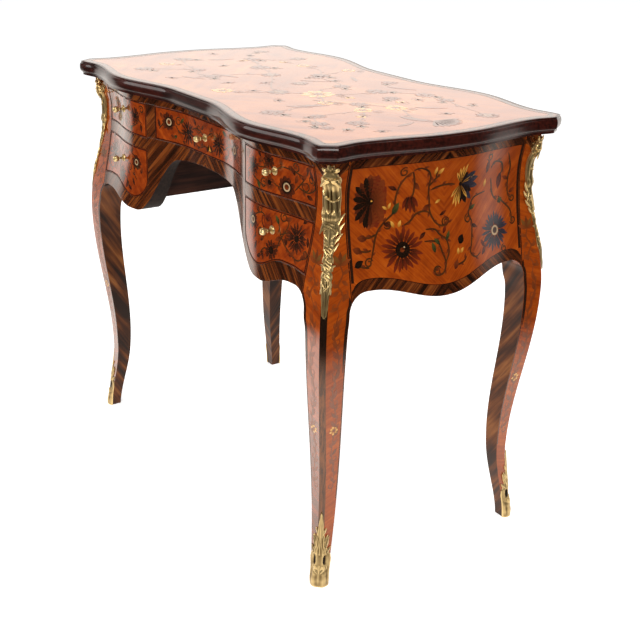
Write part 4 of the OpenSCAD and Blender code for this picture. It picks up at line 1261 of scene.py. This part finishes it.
TOP_STEMS = [
    [(-14, -155), (20, -130), (45, -72), (70, -50), (95, -19), (123, 30), (123, 92)], [(95, -19), (140, -40),
    (169, -54), (205, -9), (258, 30), (300, 20), (345, 4), (397, 28)], [(123, 92), (150, 120), (190, 151),
    (245, 153), (300, 140), (382, 129)], [(95, -19), (60, 10), (52, 64), (0, 80), (-54, 77), (-66, 95),
    (-90, 181)], [(45, -72), (0, -60), (-60, -20), (-116, 12), (-160, 30), (-200, 40), (-250, 60),
    (-300, 80)], [(169, -54), (180, -110), (195, -179)], [(205, -9), (250, -34), (256, -130), (305, -161),
    (337, -167)], [(250, -34), (290, -60), (331, -104)], [(-116, 12), (-150, -40), (-150, -100),
    (-169, -176)], [(-150, -100), (-190, -110), (-230, -90), (-288, -177)], [(-230, -90), (-290, -80),
    (-359, -52)], [(-300, 80), (-260, 130), (-260, 170)], [(-300, 80), (-350, 100), (-380, 150)], [(-66, 95),
    (-120, 130), (-180, 130), (-231, 122)],
]


def top_picture(inlay):
    inlay.stems(TOP_STEMS, 2.8, 16.0)
    for a, b, length, width, turn, wood in TOP_LONG:
        inlay.leaf(a, b, length, width, turn, wood, 0.12, columns=12)
    for a, b, radius, wood in TOP_FLOWERS:
        inlay.daisy(a, b, radius, 11, wood, "russet", 0.3)
        turn = radius * 17 % 360
        inlay.spray(*polar(a, b, radius * 0.9, turn), turn, radius, "green")
    for a, b, radius, wood in TOP_RINGED:
        inlay.ringed(a, b, radius, 13, wood, 0.36)
    for a, b, radius in TOP_YELLOW:
        inlay.daisy(a, b, radius, 9, "boxwood", "russet", 0.26)
        inlay.curl(*polar(a, b, radius + 8, 40), 10, a % 360, 1.4, 2.0)
    for i, (a, b) in enumerate(TOP_SMALL):
        inlay.spray(a, b, 67 * i % 360, 20, ("umber", "walnut", "green", "boxwood")[i % 4])
        inlay.curl(a, b, 11, 67 * i % 360 + 150, 1.2, 2.0)
    for i in range(9):
        inlay.leaf(372, 20, 48, 10, -34 + 14 * i, ("ebony", "walnut")[i % 2], 0.0, 0.72, 0.6, 0.19)


print("flowers on the top:", len(TOP_FLOWERS + TOP_RINGED + TOP_YELLOW), "stems:", len(TOP_STEMS))

# %% [markdown]
# The border follows the outline, so `inside` steps in from it along the mitres.

# %% The top picture laid
def inside(i, depth):
    spot = Vector(outline[i % len(outline)]) - mitre(i % len(outline)) * depth
    return spot.x, spot.y


top_inlay = Inlay("top_marquetry", "desk", lambda x, y, proud: (x, y, TOP_FACE + proud), (0, 0, -1), FADED)
top_picture(top_inlay)
round_top = len(outline)
top_inlay.sheet(round_top, 2, lambda u, v: inside(round(u * round_top), blend(0.5, 12.0, v)), band_top, 0.1)
for depth, width in ((13.0, 1.4), (2.2, 1.2)):
    line = [inside(i, depth) for i in range(round_top + 1)]
    top_inlay.ribbon(line, width, VENEERS["ebony"], 0.15, closed=True)
top_inlay.lay()

# %% [markdown]
# ### Back
# The back shows no drawers, so its two wings repeat the side picture, smaller and turned to face each
# other, and the centre drawer's flowers fill the middle. Cross-banding follows both edges here too.

# %% The back picture
def back_inlay():
    def plain(x, z, proud):
        return x, front_depth(x, z) + proud, z

    inlay = Inlay("back_marquetry", "desk", plain, (0, -1, 0))
    for s in (-1.0, 1.0):
        inlay.place = lambda a, z, proud: plain(s * (292.0 - 0.6 * a), 654.0 + 0.7 * (z - 648.0), proud)
        side_picture(inlay)
    inlay.place = lambda a, z, proud: plain(0.95 * a, z - 8.0, proud)
    centre_picture(inlay)
    inlay.place = plain
    end = OUTER - 0.3
    banded(inlay, end, frame_low, 17.0, band_front, (96, 150))
    lined(inlay, end, frame_low, 17.4, (120, 96))
    for x in (-end + 2.6, end - 2.6):
        inlay.string([(x, z) for z in steps(545.0, LINE_Z, 16)], 5.2, VENEERS["string"], 0.12)
    inlay.lay()


back_inlay()

# %% [markdown]
# ### Legs
# Both outer faces of each leg carry a trailing stem with pairs of leaves, drawn along the middle of the face,
# so that it follows the curve of the leg whatever the width there.

# %% Leg pictures
KNEE_FLOWER, STEM_HIGH, STEM_LOW = 298, 508, 176


def face_middle(z, post, run, outside):
    return (leg_inner(z, post, run, outside) + outside + leg_out(z) - CHAMFER) / 2


def from_middle(z, inset, edges):
    """How far a line inside the inner edge of a face is from the middle of that face."""
    return leg_inner(z, *edges) + inset - face_middle(z, *edges)


def trailing_stem(inlay):
    """The stem below the knee, with a big and a small leaf at every bend."""
    stem = [((6.5 - 0.22 * i) * math.sin(i * 1.05), blend(STEM_HIGH, STEM_LOW, i / 18)) for i in range(19)]
    inlay.vine(stem, 2.9, "umber")
    for i, (root, z) in enumerate(stem[1:-1]):
        way = 1 if root < 0 else -1                        # the big leaf goes where the stem leaves room
        size = (10.0 + 9.0 * z / 500) * inlay.chance.uniform(0.85, 1.15)
        wood = ("umber", "walnut", "umber", "russet")[i % 4]
        big, small = inlay.chance.uniform(28, 60), inlay.chance.uniform(20, 50)
        inlay.leaf(root, z, size * 1.1, size * 0.44, 90 - way * big, wood, 0.2 * way)
        inlay.leaf(root, z - 4.0, size * 0.7, size * 0.3, 90 + way * small, "umber", -0.2 * way)
        if i % 3 == 1 and abs(z - KNEE_FLOWER) > 14:
            inlay.curl(root + 5.5 * way, z - 7.0, 4.6 + z / 120, 90 + 90 * way, 0.85 * way, 2.6, "umber")


def knee_spray(inlay):
    """The spray over the knee and the short stem under it."""
    for turn, wood in ((90, "ebony"), (55, "green"), (125, "green"), (160, "umber"), (20, "umber")):
        inlay.leaf(0, 584, 22, 8, turn, wood)
    inlay.vine([(0, 584), (-5, 570), (4, 554), (-5, 538), (5, 522), (0, STEM_HIGH)], 2.9, "umber")
    for curl in ((9, 560, 7.5, 160, 0.8), (-10, 541, 8.0, 20, -0.8), (10, 523, 7.5, 200, 0.8)):
        inlay.curl(*curl, 3.0, "umber")
    inlay.leaves([("umber", *leaf) for leaf in ((-5, 570, 150), (4, 552, 20), (-5, 538, 200), (5, 520, 340),
                                                (-3, 560, 210), (3, 545, 330), (-4, 528, 130))], 15, 6.6)


def leg_inlay(name, place, inward, edges, head, head_width):
    inlay = Inlay(name, "desk", place, inward, FADED)
    trailing_stem(inlay)
    inlay.daisy(0, KNEE_FLOWER, 9.0, 7, "boxwood", "umber", 0.34, 0.9)
    knee_spray(inlay)
    line = [(from_middle(z, 1.5, edges), z) for z in LEG_ZS if 150 < z < CASE_TOP]
    shadow = [(from_middle(z, 4.6, edges), z) for z in LEG_ZS if 400 < z < 534]
    inlay.string(line, 2.0, VENEERS["string"], 0.13)
    inlay.ribbon(shadow, 4.6, VENEERS["string"], 0.12, 0.2)
    inlay.sheet(6, 10, lambda u, v: (from_middle(742.0, blend(2.4, head_width, u), edges),
                                     blend(blend(734.0, 698.0, u ** 1.6), CASE_TOP - 0.3, v)), head, 0.12)
    inlay.lay()


for corner, (sx, sy) in CORNERS.items():
    leg_inlay(f"{corner}_leg_front_marquetry",
              lambda a, z, proud: (sx * (face_middle(z, *LEG_FRONT) + a), sy * (leg_y(z) + proud), z),
              (0, -sy, 0), LEG_FRONT, band_front, 42.0)
    leg_inlay(f"{corner}_leg_side_marquetry",
              lambda a, z, proud: (sx * (leg_x(z) + proud), sy * (face_middle(z, *LEG_SIDE) + a), z),
              (-sx, 0, 0), LEG_SIDE, band_side, 36.0)

# %% [markdown]
# ## Bronze mounts
# Each mount is a lost-wax casting: a hollow shell that hugs the corner of the leg, with leaves that stand
# off it. `corner_point` walks across the corner, over one face, the chamfer and the other face, and steps
# out from it. Every leaf is a creased sheet with a lobed edge and a curled tip, cast in one with the shell.

# %% Corner tools
def corner_point(sx, sy, across_corner, out, z):
    """A point on a leg's corner: how far across from the middle of the chamfer, and how far out."""
    half = CHAMFER / math.sqrt(2.0)
    side = 1.0 if across_corner > 0 else -1.0
    flat_part = max(-half, min(half, across_corner)) / math.sqrt(2.0)
    x, y = leg_x(z) - CHAMFER / 2 + flat_part, -leg_y(z) + CHAMFER / 2 + flat_part
    beyond = abs(across_corner) - half
    if beyond > 0:
        x, y = (x, y + beyond) if side > 0 else (x - beyond, y)
    turn = math.radians(-45.0 + 45.0 * side * min(1.0, max(0.0, abs(across_corner) / half - 0.5)))
    return (sx * (x + out * math.cos(turn)), -sy * (y + out * math.sin(turn)), z)


def bronze_leaf(sx, sy, base, z, length, width, turn, rise=1.5, curl=6.0, lobes=3, belly=0.45, lift=0.6):
    """A leaf that grows from (base, z) on the corner, turned from across it, and curls away at its tip."""
    c, s = math.cos(math.radians(turn)), math.sin(math.radians(turn))
    bias = math.log(0.5) / math.log(belly)

    def spot(u, v, sink=0.0):
        lobe = 1.0 - 0.22 * abs(math.sin(math.pi * lobes * u)) if lobes else 1.0
        half = width / 2 * math.sin(math.pi * (0.04 + 0.94 * u) ** bias) ** 0.8 * lobe
        t = 2 * v - 1
        crease = rise * math.sin(math.pi * u) * (1 - abs(t))
        out = lift + crease + curl * u ** 3 - 0.4 * abs(t) + 0.5 * abs(math.cos(6.0 * t))
        along = length * (u - 0.10 * curl / length * u ** 4)
        return corner_point(sx, sy, base + c * along - s * t * half, out - sink, z + s * along + c * t * half)
    sheet = shaped_grid(14, 6, spot)
    return thickened(sheet, lambda u, v: spot(u, v, 1.1))


def bronze_shell(sx, sy, z0, z1, columns, rows, width, height):
    """The shell between two heights. width(z) is its half width, and height(t, z) its relief across it."""
    def front(u, v):
        z, t = blend(z0, z1, v), 2 * u - 1
        return corner_point(sx, sy, t * width(z), 0.25 + height(t, z), z)

    def behind(u, v):
        z, t = blend(z0, z1, v), 2 * u - 1
        return corner_point(sx, sy, t * width(z) * 0.96, 0.22, z)
    return thickened(shaped_grid(columns, rows, front), behind)


print("the front right knee is at", [round(v, 1) for v in corner_point(1.0, -1.0, 0.0, 0.0, KNEE)])

# %% [markdown]
# ### Corner mounts
# From the top: a three-lobed crest, a reeded bow that swells off the neck of the leg, a pale collar, a leaf
# whose tip flares sideways, a netted tail with whiskers of small leaves, and a plain drop with one vein.

# %% Corner mounts
CHUTE_LOW, CHUTE_TOP = 506.0, 744.0
CHUTE_HALF = [
    (506, 1.2), (511, 3.8), (524, 5.0), (541, 6.0), (552, 8.6), (563, 8.2), (574, 6.8), (586, 6.6),
    (603, 7.0), (622, 8.8), (645, 10.2), (656, 12.2), (664, 13.0), (686, 13.7), (706, 13.2), (718, 11.8),
    (728, 9.6), (736, 6.0), (744, 4.6),
]
CHUTE_RISE = [
    (506, 0.6), (522, 2.0), (546, 3.4), (563, 3.2), (584, 2.4), (606, 3.0), (630, 3.8), (650, 5.2),
    (664, 8.0), (676, 6.4), (700, 6.8), (714, 9.6), (726, 11.5), (737, 9.0), (744, 6.0),
]


def bump_between(z, low, high):
    return math.sin(math.pi * min(1.0, max(0.0, (z - low) / (high - low))))


def chute_relief(t, z):
    dome = (1.0 - abs(t) ** 2.6) ** 0.5
    relief = 0.5 + eased(CHUTE_RISE, z) * dome
    turns = 5.5 * t + 0.02 * (z - 668)
    if 668 < z < 716:                                      # reeds on the bow
        relief += bump_between(z, 664, 720) ** 0.4 * math.cos(math.pi * turns) * dome
    if 655 < z < 672:                                      # beads of the collar
        relief += 1.2 * bump_between(z, 655, 672) * (0.6 + 0.4 * math.cos(math.pi * 9 * t))
    if z < 655:                                            # fine net under it
        relief += 0.35 * math.cos(math.pi * (z + t * 5.0) / 2.6) * bump_between(z, 566, 660) ** 0.3
    if z <= 566:                                           # the drop and its vein
        relief += 0.9 * math.exp(-(t / 0.16) ** 2)
        relief += 0.4 * math.cos(math.pi * 6 * t) * bump_between(z, 536, 570)
    return max(relief, 0.4)


def chute_out(across_corner, z):
    return chute_relief(min(0.95, abs(across_corner) / eased(CHUTE_HALF, z)), z)


def bronze_ridge(sx, sy, path, radius, lift=0.0, taper=0.35):
    """A raised strap that runs over the shell along a path of (across, height)."""
    last = len(path) - 1

    def place(u, v):
        i = round(u * last)
        a, z = path[i]
        before, after = path[max(i - 1, 0)], path[min(i + 1, last)]
        da, dz = after[0] - before[0], after[1] - before[1]
        size = math.hypot(da, dz) or 1.0
        r, turn = radius * blend(taper, 1.0, min(1.0, 5.0 * min(u, 1 - u))), 2 * math.pi * v
        side, out = r * math.cos(turn), r * math.sin(turn)
        return corner_point(sx, sy, a - dz / size * side, chute_out(a, z) + lift + out, z + da / size * side)
    return closed_tube(last, 8, place)


def bronze_bead(sx, sy, across_corner, z, out, radius):
    bead = bmesh.new()
    bmesh.ops.create_uvsphere(bead, u_segments=16, v_segments=10, radius=radius * MM)
    middle = Vector(corner_point(sx, sy, across_corner, out, z)) * MM
    bmesh.ops.translate(bead, verts=bead.verts[:], vec=middle)
    return bead


print("the corner mount is", CHUTE_TOP - CHUTE_LOW, "mm long")

# %% [markdown]
# Two waves that cross make the net, and a spiral on each side makes the scrolls at the head.

# %% A whole corner mount
CHUTE_LEAVES = [
    # each: across, height, length, width, turn, rise, curl, lobes, belly, lift
    # crest of three lobes over two scrolls
    (0, 732, 13, 7, 90, 2.0, 1.5, 0, 0.62, 8.0), (-2, 730, 12, 6.5, 116, 2.0, 1.5, 0, 0.62, 7.6),
    (2, 730, 12, 6.5, 64, 2.0, 1.5, 0, 0.62, 7.6), (-2, 728, 20, 6, 252, 1.6, 1.5, 2, 0.4, 11.0),
    (2, 728, 20, 6, 288, 1.6, 1.5, 2, 0.4, 11.0), (0, 724, 22, 8, 270, 1.8, 2.0, 2, 0.4, 11.0),
    # the leaf under the collar, and on the side face the leaves that flare up and out
    (0, 656, 44, 13, 270, 2.2, 2.0, 3, 0.4, 4.0), (-5, 657, 28, 8, 246, 1.8, 2.0, 3, 0.4, 3.6),
    (5, 657, 28, 8, 294, 1.8, 2.0, 3, 0.4, 3.6), (6, 640, 30, 7, 62, 1.6, 5.0, 2, 0.5, 3.0),
    (7, 630, 26, 6.5, 54, 1.6, 3.6, 2, 0.5, 2.4), (6, 618, 22, 6, 50, 1.4, 3.0, 2, 0.5, 2.0),
    (-7, 640, 20, 6, 112, 1.4, 1.0, 2, 0.5, 2.6), (5, 606, 18, 5.4, 56, 1.2, 2.2, 2, 0.5, 2.0),
]
# narrow leaves that lie along the tail, and one pair that points out
for z in (596, 584, 572, 560, 549):
    CHUTE_LEAVES += [(way * 3.5, z + 7, 13, 5.0, 270 + way * 17, 1.2, 0.8, 0, 0.5, 2.2) for way in (-1, 1)]
CHUTE_LEAVES += [(way * 4.5, 584, 8, 3.4, 90 - way * 66, 0.8, 1.6, 0, 0.5, 2.0) for way in (-1, 1)]
NET_HIGH, NET_STEP, NET_WAVE = 648.0, 1.6, 24.0


def chute(corner, sx, sy):
    def half(z):
        return eased(CHUTE_HALF, z)

    def net(phase):
        zs = [NET_HIGH - NET_STEP * i for i in range(64)]
        return [(0.72 * half(z) * math.sin((NET_HIGH - z) / NET_WAVE * math.pi + phase), z) for z in zs]

    parts = [bronze_shell(sx, sy, CHUTE_LOW, CHUTE_TOP, 30, 190, half, chute_relief)]
    parts += [bronze_leaf(sx, sy, *leaf) for leaf in CHUTE_LEAVES]
    parts += [bronze_ridge(sx, sy, net(phase), 1.15, 0.5) for phase in (0.0, math.pi)]
    for way in (-1, 1):                                    # a scroll at the head, and a rim down the bow
        parts.append(bronze_ridge(sx, sy, spiral(way * 7.0, 720, 6.2, 90, -way * 1.6, 26, 0.72), 1.7, 1.0))
        parts.append(bronze_bead(sx, sy, way * 7.0, 720, chute_out(7.0, 720) + 1.2, 2.1))
        rim = [(way * (half(z) - 1.0), z) for z in steps(712, 652, 30)]
        parts.append(bronze_ridge(sx, sy, rim, 1.3, 0.4))
    sweep = [(blend(-9.5, 9.0, ease(t)), 708.0 - 22.0 * math.sin(math.pi * t * 0.8))
             for t in steps(0.0, 1.0, 24)]
    parts.append(bronze_ridge(sx, sy, sweep, 1.4, 0.4))    # the sweep over the bow
    dress(f"{corner}_chute", merged(parts), [gilt_bronze], "desk", "gilt_bronze", angle=40.0)


print("leaves on a corner mount:", len(CHUTE_LEAVES))

# %% [markdown]
# ### Sabots
# The shoe closes the foot of the leg. A pointed leaf climbs the corner, its lobes open over both faces, two
# slots are sunk under it, each filled with a dark sheet of painted shade, and the shoe swells round the toe.

# %% Sabots
SABOT_TOP = 138.0
SABOT_RISE = [(0, 6.0), (10, 6.2), (22, 4.6), (36, 1.6), (55, 2.0), (80, 2.2), (138, 0.5)]
SABOT_HALF = [
    (0, 0.97), (28, 0.95), (48, 0.98), (56, 0.9), (64, 0.62), (80, 0.34), (110, 0.16), (130, 0.09),
    (138, 0.03),
]


def sabot_relief(t, z):
    relief = 0.4 + eased(SABOT_RISE, z) * (1.0 - abs(t) ** 3.0) ** 0.5
    if z < 34:                                             # flutes round the toe
        relief += 0.5 * math.cos(math.pi * 5 * t) * bump_between(z, 2, 34)
    if 40 < z < 60:                                        # the two slots
        relief -= 2.2 * math.exp(-((abs(t) - 0.42) / 0.13) ** 2) * bump_between(z, 40, 60) ** 0.5
    if z >= 60:                                            # the vein of the leaf
        relief += 0.7 * math.exp(-(t / 0.2) ** 2) + 0.3 * math.cos(math.pi * 7 * t)
    return max(relief, 0.25)


SABOT_LEAVES = [(0, 60, 76, 12, 90, 1.6, 0.4, 4, 0.4, 1.8), (0, 40, 28, 8, 270, 1.8, 0.8, 2, 0.45, 3.2)]
for way in (-1, 1):
    SABOT_LEAVES += [
        (way * 3, 58, 36, 10, 90 - way * 20, 1.4, 0.5, 3, 0.42, 1.4),
        (way * 5, 56, 22, 9, 90 - way * 44, 1.2, 0.4, 2, 0.45, 1.2),
        (way * 3, 78, 20, 6, 90 - way * 30, 1.0, 0.4, 2, 0.45, 1.6),
        (way * 2, 94, 16, 5, 90 - way * 26, 0.8, 0.3, 2, 0.45, 1.4),
        (way * 8, 26, 14, 7, 90 + way * 12, 1.0, 0.4, 0, 0.5, 3.0),
        (way * 6, 34, 14, 6, 270 - way * 20, 1.2, 0.5, 0, 0.5, 3.4),
        (way * 12, 40, 12, 6, 270 + way * 10, 1.0, 0.3, 0, 0.5, 1.4)]


def sabot(corner, sx, sy):
    def half(z):
        return leg_width(z) * eased(SABOT_HALF, z)

    parts = [bronze_shell(sx, sy, 0.0, SABOT_TOP, 36, 80, half, sabot_relief)]
    parts += [bronze_leaf(sx, sy, *leaf) for leaf in SABOT_LEAVES]
    for way in (-1, 1):
        # a dark sheet in each slot: painted shade where a pierced slot would lie in shadow
        slot_shade = bronze_leaf(sx, sy, way * 7.4, 59, 18, 4.6, 270, 0.1, 0.0, 0, 0.5, 2.0)
        for face in slot_shade.faces:
            face.material_index = 1
        parts.append(slot_shade)
    dress(f"{corner}_sabot", merged(parts), [pale_gilt, painted_edge_and_slot_shade], "desk", "gilt_bronze", angle=40.0)


print("leaves on a sabot:", len(SABOT_LEAVES))

# %% [markdown]
# Every corner of the desk gets its mount and its sabot. On the left side and at the back they are mirrored.

# %% Mounts cast
for corner, signs in CORNERS.items():
    chute(corner, *signs)
    sabot(corner, *signs)

# %% [markdown]
# ### Knobs
# A knob is turned: a flat rose with a beaded rim, a thin waist and a round head. The head is then chased into
# eight soft petals, which is why it flashes in squares.

# %% Knobs
SHANK = [(0.0, -12.0), (2.4, -12.0), (2.4, -0.4)]          # the part that goes through the drawer front
KNOB = [
    (7.4, -0.4), (7.5, 0.5), (6.9, 1.4), (6.0, 1.3), (5.4, 2.1), (3.6, 2.5), (2.5, 3.6), (2.1, 5.5),
    (2.0, 8.2), (2.5, 9.4), (3.6, 10.2), (3.5, 11.0), (2.9, 11.6), (4.4, 12.4), (5.8, 14.0), (6.5, 16.4),
    (6.5, 18.0), (5.8, 20.2), (4.4, 22.0), (2.6, 23.1), (1.0, 23.5), (0.0, 23.5),
]
KNOB_X, UPPER_KNOB_Z, LOWER_KNOB_Z, CENTRE_KNOB_Z = 281.0, 706.0, 607.5, 700.5


def knob(drawer, x, z):
    bm = bmesh.new()
    profile = [bm.verts.new((r * MM, -h * MM, 0.0)) for r, h in SHANK + KNOB]
    edges = [bm.edges.new(pair) for pair in zip(profile, profile[1:])]
    bmesh.ops.spin(bm, geom=profile + edges, cent=(0, 0, 0), axis=(0, 1, 0), angle=2 * math.pi, steps=48,
                   use_merge=True)
    bmesh.ops.remove_doubles(bm, verts=bm.verts[:], dist=1e-6)
    for v in bm.verts:
        turn, out = math.atan2(v.co.z, v.co.x), -v.co.y / MM
        if 12.0 < out < 22.5:                              # eight petals on the head
            v.co.xz *= 1.0 + 0.07 * (math.cos(8 * turn) - 1.0)
        elif out < 1.6:                                    # beads round the rose
            v.co.xz *= 1.0 + 0.03 * (math.cos(16 * turn) - 1.0)
    bmesh.ops.recalc_face_normals(bm, faces=bm.faces[:])
    bmesh.ops.translate(bm, verts=bm.verts[:], vec=(x * MM, -front_depth(x, z) * MM, z * MM))
    dress(f"{drawer}_knob", bm, [polished_gilt], drawer, "gilt_bronze", angle=40.0)


knob("centre_drawer", 0.0, CENTRE_KNOB_Z)
for side, s in SIDES.items():
    knob(f"upper_{side}_drawer", s * KNOB_X, UPPER_KNOB_Z)
    knob(f"lower_{side}_drawer", s * KNOB_X, LOWER_KNOB_Z)

# %% [markdown]
# ## Floor, light and background
# A pale floor, one broad lamp over the camera's shoulder, a softer one on the left and one overhead. The
# white sweep behind the desk is part of the world: glossy rays see it too, which is what gives the lacquer
# its pale reflections on every face that turns away from the camera.

# %% Floor
DARK_ROOM = (0.02, 0.019, 0.018, 1.0)
WARM_SWEEP, WARM_FLOOR, WHITE = (1.36, 1.28, 1.2, 1.0), (1.9, 1.79, 1.67, 1.0), (1.0, 1.0, 1.0, 1.0)


def light_path(finish):
    node = finish.add("ShaderNodeLightPath").socket.node
    return Wire(finish, node.outputs["Is Camera Ray"]), Wire(finish, node.outputs["Is Glossy Ray"])


pale = Finish("pale_floor", Base_Color=(0.86, 0.86, 0.85, 1.0), Roughness=0.9, Specular_IOR_Level=0.0)
spot = pale.add("ShaderNodeTexCoord", {}, {}, "Object")
heading = pale.vector_maths("NORMALIZE", spot)
toward = pale.vector_maths("DOT_PRODUCT", heading, (-0.656, 0.755, 0.0), output="Value")
far = pale.vector_maths("LENGTH", spot, output="Value")
paper = pale.maths_of("MAXIMUM", toward.step(0.17, 0.35) * 0.713, far.step(1.35, 0.85))
camera_ray, glossy_ray = light_path(pale)
plain_floor = Wire(pale, pale.shader.outputs["BSDF"])
glow = pale.add("ShaderNodeEmission", {}, {"Color": WHITE, "Strength": 0.54})
lit = pale.add("ShaderNodeAddShader", {}, {0: plain_floor, 1: glow})
card = pale.mix(paper, DARK_ROOM, WARM_FLOOR)
mirrored = pale.add("ShaderNodeEmission", {}, {"Color": card, "Strength": 1.0})
seen = pale.either(glossy_ray, pale.either(camera_ray, plain_floor, lit), mirrored)
pale.join(pale.tree.nodes["Material Output"].inputs["Surface"], seen)

floor_mesh = bmesh.new()
bmesh.ops.create_grid(floor_mesh, x_segments=2, y_segments=2, size=14.0)
floor_data = bpy.data.meshes.new("floor")
floor_mesh.to_mesh(floor_data)
floor_mesh.free()
floor_data.materials.append(pale.material)
floor = bpy.data.objects.new("floor", floor_data)
bpy.context.collection.objects.link(floor)
print("floor laid")

# %% [markdown]
# The lamps are broad squares, which keeps the shadows soft.

# %% Lamps
def lamp(name, place, target, size, power):
    data = bpy.data.lights.new(name, "AREA")
    data.shape, data.size, data.energy = "SQUARE", size, power
    data.color = (1.0, 0.98, 0.95)
    light = bpy.data.objects.new(name, data)
    light.location = place
    light.rotation_euler = (Vector(target) - Vector(place)).to_track_quat("-Z", "Y").to_euler()
    bpy.context.collection.objects.link(light)


lamp("key", (2.3, -2.0, 2.4), (0.0, 0.0, 0.5), 1.4, 66.0)
lamp("fill", (-1.6, -2.6, 1.5), (0.0, 0.0, 0.5), 1.6, 32.0)
lamp("overhead", (0.2, 0.4, 3.0), (0.0, 0.0, 0.7), 1.8, 45.0)
print("lamps hung")

# %% [markdown]
# The camera sees plain white behind the desk. Glossy rays see a white sweep on one side and a dark room on
# the other, and all other rays see a pale, even sky.

# %% World
class Studio(Finish):
    """The world's own nodes, made with the same tools as a finish."""

    def __init__(self, world):
        world.use_nodes = True
        self.tree = world.node_tree
        self.shader = self.tree.nodes["Background"]


world = bpy.data.worlds.new("studio")
bpy.context.scene.world = world
studio = Studio(world)
studio.set(Color=(0.95, 0.97, 1.0, 1.0), Strength=0.55)
camera_ray, glossy_ray = light_path(studio)
direction = studio.add("ShaderNodeTexCoord", {}, {}, "Generated")
facing = studio.vector_maths("DOT_PRODUCT", direction, (-0.669, 0.743, 0.0), output="Value")
sweep = studio.mix(camera_ray, studio.mix(facing.step(0.29, 0.49), DARK_ROOM, WARM_SWEEP), WHITE)
backdrop = studio.add("ShaderNodeBackground", {}, {"Color": sweep, "Strength": 1.0})
straight = studio.maths_of("MAXIMUM", camera_ray, glossy_ray)
room = Wire(studio, studio.shader.outputs["Background"])
studio.join(studio.tree.nodes["World Output"].inputs["Surface"], studio.either(straight, room, backdrop))
print("world set")

# %% [markdown]
# ## Plain inner parts
# Nodes whose shape is already right only take their finish.

# %% Inner parts
INNER_WOODS = {("_ceiling", "_cheek", "_pedestal_bottom"): dark_inside,
               ("_runners", "_drawer_sides", "_drawer_back", "_drawer_bottom"): oak,
               ("_knob", "_chute", "_sabot"): gilt_bronze}
finished = 0
for name, node in frame["nodes"].items():
    for endings, finish in INNER_WOODS.items():
        if name.endswith(endings):
            node.data.materials.clear()
            node.data.materials.append(finish)
            finished += 1
print(finished, "nodes have a finish of their own")

# %% [markdown]
